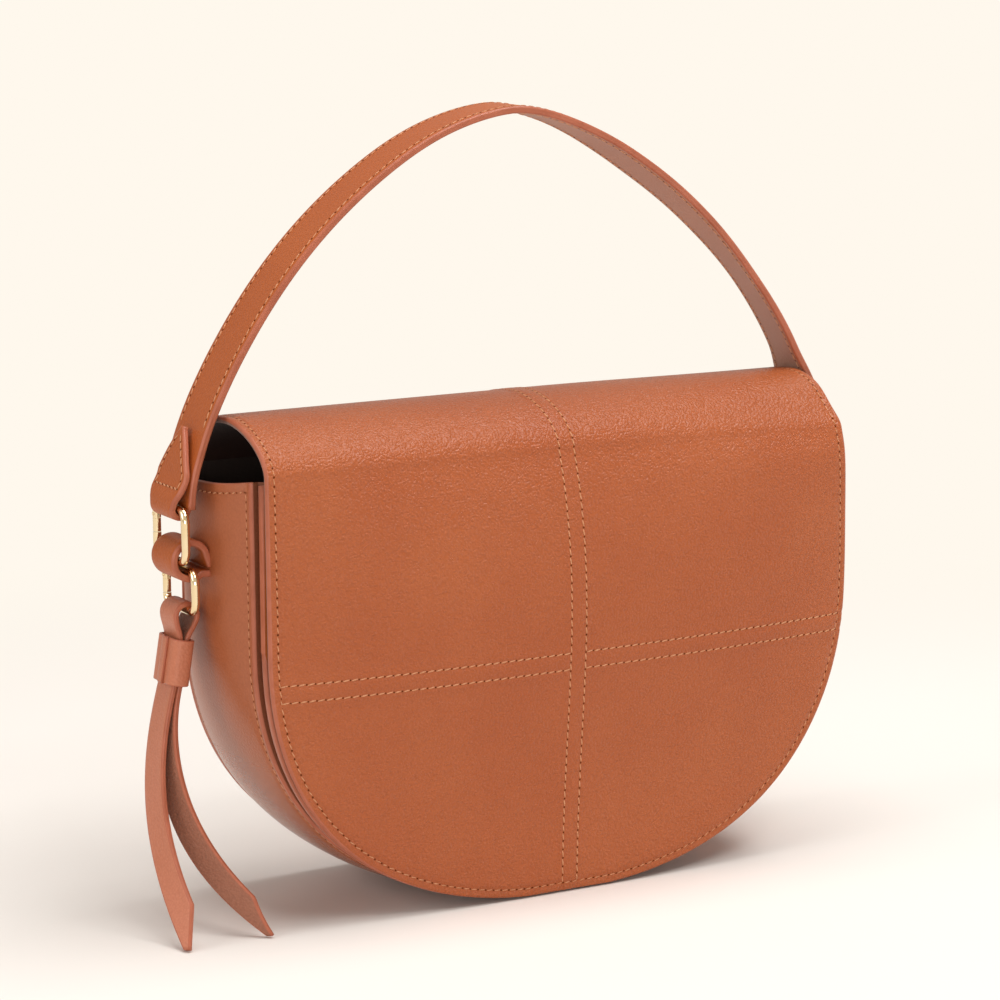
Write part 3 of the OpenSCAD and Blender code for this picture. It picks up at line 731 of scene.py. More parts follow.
def thread_bead(length, radius):
    """One stitch as it lies between its holes, along X, with its back sunk."""
    bm = bmesh.new()
    bmesh.ops.create_uvsphere(bm, u_segments=6, v_segments=5, radius=1.0,
                              matrix=Matrix.Rotation(math.pi / 2, 4, "Y"))
    for v in bm.verts:
        v.co = Vector((v.co.x * length / 2, v.co.y * radius, v.co.z * radius * 0.75))
    # the sphere's corners and faces may come in another order at each run
    bm.verts.sort(key=lambda v: v.co.dot(ORDER))
    bm.faces.sort(key=lambda f: f.calc_center_median().dot(ORDER))
    return bm


def needle_hole(radius):
    """Dark dot where the needle went through: painted shade of the hole."""
    bm = bmesh.new()
    bmesh.ops.create_circle(bm, cap_ends=True, cap_tris=False, segments=8, radius=radius)
    for face in bm.faces:
        face.material_index = 1
    return bm


def sew(line, length=2.8, radius=0.31, hole=0.38):
    """Stitches at an even pitch along line, a list of (point, normal) in millimetres."""
    whole = bmesh.new()
    spare = bpy.data.meshes.new("spare")
    bead, dot = thread_bead(length, radius), needle_hole(hole)
    reach = [0.0]
    for (a, _), (b, _) in zip(line, line[1:]):
        reach.append(reach[-1] + (b - a).length)
    count = max(int(round(reach[-1] / STITCH)), 1)
    pitch = reach[-1] / count

    def put(shape, distance, turn, lift):
        """A copy of a shape at a distance along the line, turned in the leather's plane."""
        k = max(next((m for m, r in enumerate(reach) if r > distance), len(reach) - 1), 1)
        t = (distance - reach[k - 1]) / max(reach[k] - reach[k - 1], 1e-9)
        point = line[k - 1][0].lerp(line[k][0], t)
        normal = line[k - 1][1].lerp(line[k][1], t).normalized()
        side = normal.cross((line[k][0] - line[k - 1][0]).normalized()).normalized()
        basis = Matrix((side.cross(normal), side, normal)).transposed().to_4x4()
        copy = shape.copy()
        copy.transform(Matrix.Scale(MM, 4) @ Matrix.Translation(point + normal * lift)
                       @ basis @ Matrix.Rotation(math.radians(turn), 4, "Z"))
        copy.to_mesh(spare)
        copy.free()
        whole.from_mesh(spare)

    for k in range(count):
        put(bead, pitch * (k + 0.5), SLANT, radius * 0.15)
        put(dot, pitch * (k + 1.0) % reach[-1], 0.0, HOLE_LIFT)
    bead.free()
    dot.free()
    bpy.data.meshes.remove(spare)
    return whole


def add_stitches(name, lines, body=None, side=1):
    """Lines of stitches as one piece."""
    return add_piece(name, on_side(join(lines), side), [THREAD, HOLE_SHADE], body)


def flap_normal(x, row):
    """Outward normal of the padded leather at a point."""
    k = FLAP_ROWS.index(row)
    above = FLAP_ROWS[max(k - 1, 0)]
    below = FLAP_ROWS[min(k + 1, len(FLAP_ROWS) - 1)]
    down = on_flap(x, below) - on_flap(x, above)
    across = on_flap(x + 0.5, row) - on_flap(x - 0.5, row)
    return towards(across.cross(down).normalized(), Vector((0, row[1].x, row[1].y)))


def flap_line(steps):
    """Points and normals of a line of stitches through steps of (x, row)."""
    return [(on_flap(x, row), flap_normal(x, row)) for x, row in steps]


def front_step(x, z):
    """Point of such a line at any height of the flap's front, with the nearest row's normal."""
    near = min((r for r in FLAP_ROWS if r[0].x == FLAP_Y), key=lambda r: abs(r[0].y - z))
    return on_flap(x, (Vector((FLAP_Y, z)), Vector((-1.0, 0.0)))), flap_normal(x, near)


def hem_line():
    """The line of stitches round the front: down its left side, round and up its right side."""
    low = FLAP_LOW + SEAM_IN
    left = [(-(FLAP_HALF - SEAM_IN), row) for row in FLAP_ROWS[SPLIT_ROW:]
            if row[0].y > FLAP_LOW + CURVE_H]
    path = flap_line(left)
    step, aside = 1.5, 0.4
    for k in range(int(180 / step) + 1):
        angle = 90 - step * k
        spot = inset_point(FLAP_HALF, FLAP_LOW, abs(angle), SEAM_IN,
                           max(abs(angle) - aside, 0.0), abs(angle) + aside)
        x = math.copysign(spot.x, -angle) if angle else 0.0
        path.append(front_step(x, max(spot.y, low)))
    return path + flap_line([(-x, row) for x, row in left][::-1])


# rows between the ends of the upright band's stitches and the flap's lowest edge
BAND_STOP = 9


def make_flap_stitches():
    crown, front = [], []
    crown_rows = FLAP_ROWS[1:SPLIT_ROW + 1]
    for x in (-BAND_LINE, BAND_LINE):
        crown.append(sew(flap_line([(x, row) for row in crown_rows])))
        front.append(sew(flap_line([(x, row) for row in FLAP_ROWS[SPLIT_ROW:-BAND_STOP]])))
    for x in (SEAM_IN - FLAP_HALF, FLAP_HALF - SEAM_IN):
        crown.append(sew(flap_line([(x, row) for row in crown_rows]), **FINE_THREAD))
    front.append(sew(hem_line(), **FINE_THREAD))
    for z in (SEAM_H - BAND_LINE, SEAM_H + BAND_LINE):
        half = half_width(FLAP_HALF, FLAP_LOW, z) - SEAM_IN
        for side in (-1, 1):
            xs = [side * (half + (BAND_LINE - half) * k / 60) for k in range(61)]
            front.append(sew([front_step(x, z) for x in xs]))
    blend_crown(add_stitches("crown_stitches", crown))
    blend_flap(add_stitches("flap_stitches", front))


# ---------------------------------------------------------------- body

def body_outline():
    """Points (x, z, t) down the left side of the body and up its right side. t goes from 0 at the
    rim to 1 where the curve begins."""
    low = outline_point(PANEL_HALF, 0.0, 90)[1]
    points = [(-PANEL_HALF, RIM_FRONT_H + (low - RIM_FRONT_H) * k / 16, k / 16) for k in range(16)]
    for k in range(52):
        x, z = outline_point(PANEL_HALF, 0.0, 90 - 1.6 * k)
        points.append((-x, z, 1.0))
    points.append((-outline_point(PANEL_HALF, 0.0, CURVE_START)[0], 0.0, 1.0))
    points.append((0.0, 0.0, 1.0))
    return points + [(-x, z, t) for x, z, t in points[-2::-1]]


def gusset_height(y, t, z):
    """Height of an outline point at a depth: the rim dips, and the straight side under it
    follows."""
    if t >= 1.0:
        return z
    rim = RIM_FRONT_H - RIM_DIP * (1 - (y / GUSSET_HALF) ** 2)
    rim -= (RIM_FRONT_H - BACK_EDGE_H + 0.3) * max(y, 0.0) / GUSSET_HALF
    return z - (RIM_FRONT_H - rim) * (1 - t)


# columns of the gusset, close together at its rounded front edge and at its seams
GUSSET_YS = [GUSSET_FRONT, GUSSET_FRONT, -31.35, -31.0, -30.4, -29.6, -28.6, -27.8, -27.0, -26.2,
             -25.0, -22, -18, -14, -10, -6, -2, 2, 6, 10, 14, 18, 22, 25, 26.2, 27.0, 27.8, 28.8,
             29.6, 29.9, 29.95]


# the share of the swell that the gusset has low down, and the heights that the rest comes between
LOW_SWELL = 0.36
UPPER_SWELL = (55.0, 118.0)
# how far in the turned front edge of the gusset's leather lies, and its lining
GUSSET_TURN = 2.9
GUSSET_CLOTH = 2.3


def gusset_swell(y, z):
    """How far the gusset bellies out, less its seams' grooves."""
    rise = LOW_SWELL * smooth_step(z, 0.0, 8.0) + (1 - LOW_SWELL) * smooth_step(z, *UPPER_SWELL)
    round_part = 1 - min(abs(y) / 29.0, 1.0) ** 2.3
    seam = groove(abs(y) - SEAM_Y, depth=0.3, width=0.9) * min(z / 20, 1.0)
    return (SWELL - 0.1) * rise * round_part - seam


def on_gusset(y, point, inset):
    """Point of the gusset's leather at a depth and an outline point, moved in by inset."""
    x, z, t = point
    share = max(1 - z / CURVE_H, 0.0) if t >= 1.0 else 0.0
    nx = math.copysign((abs(x) / PANEL_HALF) ** (CURVE_POWER - 1) / PANEL_HALF, x) if x else 0.0
    nz = -share ** (CURVE_POWER - 1) / CURVE_H
    size = math.hypot(nx, nz) or 1.0
    out = gusset_swell(y, z) - inset
    spot = Vector((x + nx / size * out, y, gusset_height(y, t, z) + nz / size * out))
    spot.z = max(spot.z, inset)
    return spot


def make_gusset():
    outline = body_outline()
    columns, rows = len(GUSSET_YS) - 1, len(outline) + 3

    def place(i, j):
        """The first and last rows are the rim's cut edge, and the next two round it."""
        y = GUSSET_YS[i]
        depth = rounding(y - GUSSET_FRONT, GUSSET_ROUND) if i else GUSSET_TURN
        if j in (0, rows):
            depth = SKIN_T
        elif j in (1, rows - 1):
            depth = max(depth, RIM_ROUND)
        nearest = min(max(j - 2, 0), len(outline) - 1)
        spot = on_gusset(max(y, -GUSSET_HALF), outline[nearest], depth)
        spot.y = y
        if j in (2, rows - 2):
            spot.z -= RIM_ROUND
        return spot

    bm = face_outwards(grid(columns, rows, place), (-PANEL_HALF - SWELL, 0, 140), (-1, 0, 0))
    for face in bm.faces:
        c, r = face_column(bm, face, columns), face_row(bm, face)
        painted = c < 5 or r < 2 or r >= rows - 2
        # column 0, the turned edge's face towards the recess, takes the leather darkened as painted
        # shade
        face.material_index = 2 if c == 0 else int(painted)
    add_piece("gusset_leather", bm, [GUSSET, EDGE, RECESS_SHADE], "bag_body", ("gusset",))
    make_gusset_cloth(outline)
    make_gusset_stitches(outline)


def make_gusset_cloth(outline):
    """The gusset's lining, and its cut edge at the rim."""
    ys = [-29.9, -27, -22, -16, -10, -4, 4, 10, 16, 22, 27, 29.9]

    def place(i, j):
        depth = GUSSET_CLOTH if 0 < j <= len(outline) else SKIN_T
        return on_gusset(ys[i], outline[min(max(j - 1, 0), len(outline) - 1)], depth)

    bm = face_outwards(grid(len(ys) - 1, len(outline) + 1, place), (-119, 0, 140), (1, 0, 0))
    add_piece("gusset_cloth", bm, [CLOTH], "bag_body", ("gusset_lining",))


def make_gusset_stitches(outline):
    """Both seams, each from the rim down to where the bag stands, and the line along each rim."""
    stitches = []
    for y in (-SEAM_Y, SEAM_Y):
        steps = []
        for point in outline[1:-1]:
            spot = on_gusset(y, point, 0.0)
            steps.append((spot, (on_gusset(y, point, -1.0) - spot).normalized()))
        middle = len(steps) // 2
        for side in (steps[:middle], steps[middle:]):
            stitches.append(sew([step for step in side if step[0].z > 1.0], radius=0.2, hole=0.4))
    reach, below_rim = 27.5, 3.6
    for point in (outline[0], outline[-1]):
        path = []
        for k in range(21):
            spot = on_gusset(-reach + 2 * reach * k / 20, point, 0.0)
            spot.z -= below_rim
            path.append((spot, Vector((math.copysign(1.0, point[0]), 0.0, 0.0))))
        stitches.append(sew(path))
    add_stitches("gusset_stitches", stitches, "bag_body")


# the section of the recess in front of the gusset: the depth, and how far in from the outline
RECESS = ((-30.8, 2.0), (-31.4, 3.2), (-32.4, 4.4), (-33.8, 5.2), (-35.4, 5.3), (-36.8, 4.8),
          (-37.8, 3.6))


def make_recess():
    """Folded leather between the gusset and the front panel: a shallow channel round the body."""
    outline = body_outline()

    def place(i, j):
        y, depth = RECESS[i]
        spot = on_gusset(-GUSSET_HALF, outline[j], depth)
        spot.y = y
        return spot

    bm = face_outwards(grid(len(RECESS) - 1, len(outline) - 1, place), (-121, -34, 140),
                       (-1, 0, 0))
    # the recess takes the leather darkened as painted shade of the channel
    add_piece("recess_band", bm, [RECESS_SHADE], "bag_body", ("front_band",))


def panel_points(inset, top):
    """Corners of a panel's outline, inset from its edge, from its left top to its right one."""
    foot = Vector(outline_point(PANEL_HALF, 0.0, CURVE_START)) + Vector((0.0, inset))
    right = [tuple(foot)]
    for k in range(1, 58):
        angle = min(CURVE_START + k * 1.5, 90)
        right.append(tuple(inset_point(PANEL_HALF, 0.0, angle, inset, max(angle - 0.5, 0.0),
                                       min(angle + 0.5, 90))))
    right.append((PANEL_HALF - inset, top))
    return [(-x, z) for x, z in right[::-1]] + right


def make_panel(name, node, inset, top, y0, y1, bevel, materials, slot):
    """A flat panel with rounded edges. The faces between its two sides take the second material."""
    bm = bmesh.new()
    corners = panel_points(inset, top)
    bmesh.ops.create_circle(bm, cap_ends=True, cap_tris=False, segments=len(corners), radius=1.0)
    for v, (x, z) in zip(bm.verts, corners):
        v.co = Vector((x, y0, z)) * MM
    made = bmesh.ops.extrude_face_region(bm, geom=bm.faces[:])
    bmesh.ops.translate(bm, verts=[g for g in made["geom"] if isinstance(g, bmesh.types.BMVert)],
                        vec=Vector((0, (y1 - y0) * MM, 0)))
    bmesh.ops.recalc_face_normals(bm, faces=bm.faces)
    rims = [e for e in bm.edges if abs(e.verts[0].co.y - e.verts[1].co.y) < 1e-9]
    bmesh.ops.bevel(bm, geom=rims, offset=bevel * MM, segments=4, profile=0.5, affect="EDGES",
                    material=-1)
    for f in bm.faces:
        f.material_index = 0 if abs(f.normal.y) > 0.99 else 1
    add_piece(name, bm, materials, "bag_body", (node,))


# the name, the node, how far in from the edge, the top, the front, the back and the rounding,
# then the materials of the sides and the rim, and the slot
PANELS = (
    ("front_panel_leather", "front_panel", 0.0, RIM_FRONT_H, -41.1, -37.5, 0.9, [SMOOTH, EDGE],
     "tan_leather"),
    ("front_board_cover", "front_board", 5.3, RIM_FRONT_H - 6, -37.45, -36.1, 0.2, [BOARD, BOARD],
     "board"),
    ("front_cloth", "front_lining", 5.3, RIM_FRONT_H - 2, -36.05, -35.3, 0.3, [CLOTH, CLOTH],
     "lining_cloth"),
    ("back_panel_leather", "back_panel", 0.0, BACK_EDGE_H, 30.0, BACK_Y, 0.9, [LEATHER, EDGE],
     "tan_leather"),
    ("back_board_cover", "back_board", 2.6, BACK_EDGE_H - 6, 28.65, 29.95, 0.2, [BOARD, BOARD],
     "board"),
    ("back_cloth", "back_lining", 2.6, BACK_EDGE_H + 3, 27.8, 28.6, 0.3, [CLOTH, CLOTH],
     "lining_cloth"))


def make_panels():
    for row in PANELS:
        make_panel(*row)
    border = panel_points(SEAM_IN, BACK_EDGE_H - 1)
    hem = [(x, BACK_EDGE_H - SEAM_IN) for x in range(-116, 117, 4)]
    lines = [sew([(Vector((x, BACK_Y, z)), ACROSS) for x, z in line]) for line in (border, hem)]
    add_stitches("back_stitches", lines, "bag_body")


def make_pocket():
    """Slip pocket on the back lining: two sewn sides and a slightly open mouth."""
    low, high, half, wall, cloth = 62.0, 137.0, 75.0, 27.0, 0.8
    inwards = -ACROSS

    def place(i, j):
        x = -half + 2 * half * i / 30
        z = low + (high - low) * j / 20
        out = 0.5 * (1 - (x / half) ** 2) * smooth_step(z, low + 20, high)
        return (x, wall - cloth - out, z)

    bm = face_outwards(grid(30, 20, place), (0, 26, 100), inwards)
    piece = add_piece("slip_pocket_cloth", bm, [CLOTH], "bag_body",
                      ("slip_pocket",))
    thick = piece.modifiers.new("cloth", "SOLIDIFY")
    thick.thickness = cloth * MM
    thick.offset = -1.0
    side, foot, mouth = half - 2, low + 2, high - 3
    seam = ((-side, mouth), (-side, foot), (side, foot), (side, mouth))
    path = [(Vector((x, wall - cloth - 0.05, z)), inwards) for x, z in seam]
    add_stitches("pocket_stitches", [sew(path)], "bag_body")


# ---------------------------------------------------------------- ribbons of leather

# columns across a strip's face
RIBBON_STEPS = 7


def ribbon_section(half, thickness, groove_in):
    """Points (across, up, zone) round a strip's section, from the left of its face. The zone is 0
    on the face, 1 on the edges and 2 on the back."""
    r = min(0.42 * thickness, 0.9)
    flat = thickness / 2
    half = max(half, r + 0.02)
    across = [-(half - r) + 2 * (half - r) * k / RIBBON_STEPS for k in range(RIBBON_STEPS + 1)]
    edge = []
    for angle in (60, 30, 0):
        a = math.radians(angle)
        edge.append((half - r + r * math.cos(a), flat - r + r * math.sin(a), 1))
    edge.append((half - groove_in, 0.0, 1))
    for angle in (0, -30, -60):
        a = math.radians(angle)
        edge.append((half - r + r * math.cos(a), -flat + r + r * math.sin(a), 1))
    return ([(a, flat, 0) for a in across] + edge + [(-a, -flat, 2) for a in across]
            + [(-a, -b, 1) for a, b, _ in edge])


def ribbon(rows, thickness, groove_in=0.1):
    """A leather strip along rows of (middle, width direction, half width, normal), with rounded
    corners and the line between its two plies pressed in round its edge. Material 0 is its face,
    on the normal's side, 1 its edges and 2 its back."""
    zones = [zone for _, _, zone in ribbon_section(5.0, thickness, groove_in)]
    count = len(zones)

    def place(i, j):
        middle, across, half, normal = rows[j]
        a, b, _ = ribbon_section(half, thickness, groove_in)[i % count]
        return middle + across * a + normal * b

    bm = grid(count, len(rows) - 1, place, closed=True)
    for face in bm.faces:
        c = face_column(bm, face, count)
        pair = (zones[c], zones[(c + 1) % count])
        face.material_index = pair[0] if pair[0] == pair[1] else 1
    ends = [e for e in bm.edges if e.is_boundary]
    for face in bmesh.ops.holes_fill(bm, edges=ends, sides=0)["faces"]:
        face.material_index = 1
    bmesh.ops.recalc_face_normals(bm, faces=bm.faces)
    return bm


def framed(points, across, halves):
    """Ribbon rows from a path: the normal is square to the path and to the width direction.
    across and halves are lists, or one value for the whole path."""
    rows = []
    for k, point in enumerate(points):
        along = (points[min(k + 1, len(points) - 1)] - points[max(k - 1, 0)]).normalized()
        width = across[k] if isinstance(across, list) else across
        half = halves[k] if isinstance(halves, list) else halves
        rows.append((point, width.normalized(), half, along.cross(width).normalized()))
    return rows


def facing(rows, outward):
    """Ribbon rows whose normals point to the side that outward(row number, point) gives."""
    return [(p, w, h, towards(n, outward(k, p))) for k, (p, w, h, n) in enumerate(rows)]


def strap_point(angle, offset=0.0):
    """Point of the strap's middle line; 0 degrees is its right end, 180 its left one."""
    a = math.radians(angle)
    x = STRAP_REACH * abs(math.cos(a)) ** (2 / STRAP_POWER)
    z = STRAP_RISE * max(math.sin(a), 0.0) ** (2 / STRAP_POWER)
    nx = (x / STRAP_REACH) ** (STRAP_POWER - 1) / STRAP_REACH
    nz = (z / STRAP_RISE) ** (STRAP_POWER - 1) / STRAP_RISE
    size = math.hypot(nx, nz)
    side = -1 if angle > 90 else 1
    offset += settled(side * x)
    return Vector((side * (x + nx / size * offset), 0.0, RING_TOP + z + nz / size * offset))


# how far the leather strap has settled off its cut curve, outwards, along the width of the bag
SETTLED = ((-139.3, 0.0), (-132, -1.3), (-125, -1.8), (-112, -1.5), (-96, -0.5), (-61, 1.2),
           (-35, 2.8), (5, 2.6), (40, 0.0), (60, -1.5), (95, -1.5), (117, -0.9), (131, 0.3),
           (139.3, 0.0))


def settled(x):
    """The table above, evened out over a short stretch of the strap."""
    total, weight = 0.0, 0.0
    for k in range(-9, 10):
        share = math.exp(-(k / 4.5) ** 2)
        near = min(max(x + 2.6 * k, SETTLED[0][0]), SETTLED[-1][0])
        for (x0, y0), (x1, y1) in zip(SETTLED, SETTLED[1:]):
            if near <= x1:
                total += share * (y0 + (y1 - y0) * (near - x0) / (x1 - x0))
                break
        weight += share
    ends = smooth_step(STRAP_REACH - abs(x), 0.0, 4.0)
    return ends * total / weight


# the turns of the strap's right leg: the angle in degrees, the heights over the ring between
# which it comes, and those between which it goes
TWIST = ((9.5, (22.0, 40.0), (66.0, 104.0)), (-5.0, (96.0, 116.0), (122.0, 138.0)))


def twist(point):
    """Width direction of the strap at a point."""
    rise = point.z - RING_TOP
    turn = 0.0
    if point.x > 0:
        for angle, comes, goes in TWIST:
            turn += angle * smooth_step(rise, *comes) * (1 - smooth_step(rise, *goes))
    a = math.radians(turn)
    return Vector((math.sin(a), math.cos(a), 0.0))


def even_path(samples, step):
    """Points at an even distance along a list of points."""
    reach = [0.0]
    for a, b in zip(samples, samples[1:]):
        reach.append(reach[-1] + (b - a).length)
    count = max(int(round(reach[-1] / step)), 2)
    result, k = [], 1
    for m in range(count + 1):
        want = reach[-1] * m / count
        while k < len(reach) - 1 and reach[k] < want:
            k += 1
        t = (want - reach[k - 1]) / max(reach[k] - reach[k - 1], 1e-9)
        result.append(samples[k - 1].lerp(samples[k], t))
    return result


def make_strap():
    path = even_path([strap_point(k / 4) for k in range(721)], step=2.5)
    inside = Vector((0, 0, 150))
    rows = facing(framed(path, [twist(p) for p in path], STRAP_W / 2), lambda k, p: p - inside)
    add_piece("strap_leather", ribbon(rows, STRAP_T, groove_in=0.22), [SMOOTH, EDGE, FLESH],
              "handle", ("strap_outer", "strap_lining"))
    lines = []
    for y in (STRAP_SEAM_IN - STRAP_W / 2, STRAP_W / 2 - STRAP_SEAM_IN):
        for face in (1, -1):
            lines.append(sew([(p + w * y + n * face * (STRAP_T / 2 + 0.02), n * face)
                              for p, w, _, n in rows[12:-12]]))
    add_stitches("strap_stitches", lines, "handle")


def make_strap_end(side, hand):
    """The strap's end, folded round the ring's bar and turned up outside to a sewn point."""
    ply = STRAP_T * 0.86
    fold_r = WIRE_D / 2 + 0.15 + STRAP_T / 2
    fold_half, leaf_half, point_half = 9.5, 12.5, 1.6
    apex, point_h = 28.0, 15.5
    parted_h, widest_h, last_stitch_half = 11.5, 7.0, 3.2
    meet = STRAP_T + 0.15
    points = [Vector((RING_X - fold_r, 0, RING_TOP + 2.0 - 0.5 * k)) for k in range(5)]
    for k in range(1, 13):
        a = math.radians(180 + 15 * k)
        points.append(Vector((RING_X + fold_r * math.cos(a), 0, RING_TOP + fold_r * math.sin(a))))
    last = math.degrees(math.asin((apex / STRAP_RISE) ** (STRAP_POWER / 2)))
    for k in range(1, 29):
        angle = last * (k / 28) ** 0.62
        rise = strap_point(angle).z - RING_TOP
        parted = (1 + math.cos(math.pi * min(rise / parted_h, 1.0))) / 2
        points.append(strap_point(angle, meet + (2 * fold_r - STRAP_T - 0.15) * parted))
    halves = []
    for k, point in enumerate(points):
        rise = point.z - RING_TOP
        half = fold_half
        if k < 5:
            half += (STRAP_W / 2 - fold_half) * smooth_step(rise, -1.0, 2.0)
        elif k >= 17:
            half += (leaf_half - fold_half) * smooth_step(rise, 0.0, widest_h)
            left = max(apex - rise, 0.0) / point_h
            half = min(half, point_half + (leaf_half - point_half) * left ** 0.85)
        halves.append(half)
    middle = Vector((RING_X, 0, RING_TOP))
    rows = facing(framed(points, ACROSS, halves),
                  lambda k, p: p - middle if p.z < RING_TOP + 3 else Vector((1, 0, 0.3)))
    leaf = [row for row in rows[17:] if row[0].z > RING_TOP + widest_h]

    def seam(row, share):
        """Step of a line of stitches at a share of a row's width, inside its edges."""
        p, w, h, n = row
        return p + w * share * (h - TURNOVER_SEAM_IN) + n * (ply / 2 + 0.02), n

    lines = [sew([seam(row, edge) for row in leaf if row[2] > last_stitch_half])
             for edge in (-1, 1)]
    lines.append(sew([seam(leaf[0], share) for share in (-1.0, 0.0, 1.0)]))
    name = "strap_turnover_" + hand
    add_piece(name, on_side(ribbon(rows, ply), side), [SMOOTH, EDGE, SMOOTH],
              "handle", ("strap_end_" + hand,))
    add_stitches(name + "_stitches", lines, "handle", side=side)


def make_tab(side, hand):
    """Side tab: a leather loop round the rings whose two leaves meet at the gusset."""
    r = TAB_HOLE_R + TAB_T / 2
    middle = Vector((TAB_X, 0, PIVOT_H))
    root = Vector((TAB_ROOT, 0, PIVOT_H - 5.4))
    top_root = root + Vector((0, 0, TAB_T + 0.1))
    start, end = 148.0, 232.0
    first, last = middle + ray(start) * r, middle + ray(end) * r
    points = [top_root.lerp(first, k / 5) for k in range(5)]
    points += [middle + ray(start - (start - end + 360) * k / 40) * r for k in range(41)]
    points += [last.lerp(root, k / 4) for k in range(1, 5)]
    rows = facing(framed(points, ACROSS, TAB_W / 2), lambda k, p: p - middle)
    piece = add_piece("tab_loop_" + hand, on_side(ribbon(rows, TAB_T), side),
                      [SMOOTH, EDGE, SMOOTH], stands_for=("tab_" + hand,))
    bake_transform(piece)


# ---------------------------------------------------------------- rings

WIRE_SIDES = 20


def wire(points, radius):
    """A round wire along points that lie in a plane across X."""
    points = even_path(points, step=0.5)
    count = len(points)

    def place(i, j):
        along = (points[min(j + 1, count - 1)] - points[max(j - 1, 0)]).normalized()
        out = along.cross(SIDEWAYS).normalized()
        a = 2 * math.pi * i / WIRE_SIDES
        return points[j] + SIDEWAYS * radius * math.cos(a) + out * radius * math.sin(a)

    bm = grid(WIRE_SIDES, count - 1, place, closed=True)
    rims = [e for e in bm.edges if e.is_boundary]
    bmesh.ops.holes_fill(bm, edges=rims, sides=0)
    for edge in rims:
        edge.smooth = False
    bmesh.ops.recalc_face_normals(bm, faces=bm.faces)
    return bm


def corner(x, y, z, radius, start):
    """Quarter turn of a wire round a middle, from an angle in degrees."""
    turn = [math.radians(start + 90 * k / 9) for k in range(10)]
    return [Vector((x, y + radius * math.cos(a), z + radius * math.sin(a))) for a in turn]


def clear_of(bm, x, side):
    """Half of a lapped joint: the mesh is pressed flat at x and stays on its side of it."""
    for v in bm.verts:
        v.co.x = side * max(side * v.co.x, side * x * MM)
    return bm


def make_ring(x, top, height, wire_names, pin_names, gate_names, body, gate_body):
    """A wire ring whose straight back bar opens as a sprung gate on a pin. Each pair of names is
    a piece's and its node's."""
    front, back, low = -RING_W / 2, RING_W / 2, top - height
    front_r, back_r = 4.6, 3.2
    # the heights of the pin and the gate's tip, how far the halves of the joint overlap round the
    # pin, and half the gap between them
    pin_z = top - 3 - 1.9
    tip_z = pin_z - 6.6
    lap, seam = 1.6, 0.08
    r, gate_r = WIRE_D / 2, WIRE_D / 2 * 0.97

    def bar(z):
        return Vector((x, back, z))

    path = [bar(pin_z + 1.75)]
    path += corner(x, back - back_r, top - back_r, back_r, 0)
    path += corner(x, front + front_r, top - front_r, front_r, 90)
    path += corner(x, front + front_r, low + front_r, front_r, 180)
    path += corner(x, back - back_r, low + back_r, back_r, 270)
    path.append(bar(tip_z - 0.35))
    ear = clear_of(wire([bar(pin_z + lap), bar(pin_z - 1.4)], r), x + seam, 1)
    add_piece(wire_names[0], join([wire(path, r), ear]), [GOLD], body,
              wire_names[1:])
    pin = bmesh.new()
    bmesh.ops.create_cone(pin, cap_ends=True, segments=24, radius1=0.75 * MM, radius2=0.75 * MM,
                          depth=(WIRE_D + 0.25) * MM,
                          matrix=Matrix.Translation(bar(pin_z) * MM)
                          @ Matrix.Rotation(math.pi / 2, 4, "Y"))
    bmesh.ops.bevel(pin, geom=[e for e in pin.edges if len(e.link_faces) == 2
                               and any(len(f.verts) > 4 for f in e.link_faces)],
                    offset=0.15 * MM, segments=2, profile=0.5, affect="EDGES", material=-1)
    add_piece(pin_names[0], pin, [GOLD], body, pin_names[1:])
    gate = wire([bar(pin_z - lap), bar(tip_z)], gate_r)
    half = clear_of(wire([bar(pin_z + 1.4), bar(pin_z - 1.7)], gate_r), x - seam, -1)
    add_piece(gate_names[0], join([gate, half]), [GOLD], gate_body, gate_names[1:])


# ---------------------------------------------------------------- tassel

# the loop's hollow, the neck where its plies meet, and the directions of the leaning tassel
LOOP_R = 3.6
LOOP_X = -TASSEL_RING_X - TAIL_T / 3
LOOP_Z = TASSEL_RING_TOP - TASSEL_RING_H + WIRE_D / 2 + 0.15 - LOOP_R
NECK = Vector((LOOP_X - 8.8 * math.tan(LEAN), 0, LOOP_Z - 8.8))
DOWN = Vector((-math.sin(LEAN), 0, -math.cos(LEAN)))
OUT = Vector((-math.cos(LEAN), 0, math.sin(LEAN)))


def make_tassel():
    make_tassel_loop()
    make_keeper()
    for row in TAILS:
        make_tail(*row)


def make_tassel_loop():
    """One strip that hangs over the ring, its two plies going down into the keeper."""
    r = LOOP_R + TAIL_T / 2
    middle = Vector((LOOP_X, 0, LOOP_Z))
    start, end = 205.0, -28.0
    left, right = [[NECK + DOWN * KEEPER_H + OUT * (ply * TAIL_T) / 2
                    - DOWN * (KEEPER_H + 0.5) * k / 12 for k in range(13)] for ply in (1, -1)]
    over = [middle + ray(start + (end - start) * k / 30) * r for k in range(31)]
    up = [left[-1].lerp(over[0], t) for t in (0.25, 0.5, 0.75)]
    down = [over[-1].lerp(right[-1], t) for t in (0.25, 0.5, 0.75)]
    path = even_path(left + up + over + down + right[::-1], step=1.2)
    for _ in range(6):
        path = [path[0]] + [(path[k - 1] + path[k] * 2 + path[k + 1]) / 4
                            for k in range(1, len(path) - 1)] + [path[-1]]

    def outward(k, point):
        if point.z > NECK.z + 1:
            return point - middle
        return OUT if k < len(path) / 2 else -OUT

    rows = facing(framed(path, ACROSS, TAIL_W / 2), outward)
    add_piece("tassel_loop_leather", ribbon(rows, TAIL_T * 0.96, groove_in=0.08),
              [TASSEL, EDGE, TAIL_BACK], "tassel", ("tassel_loop",))


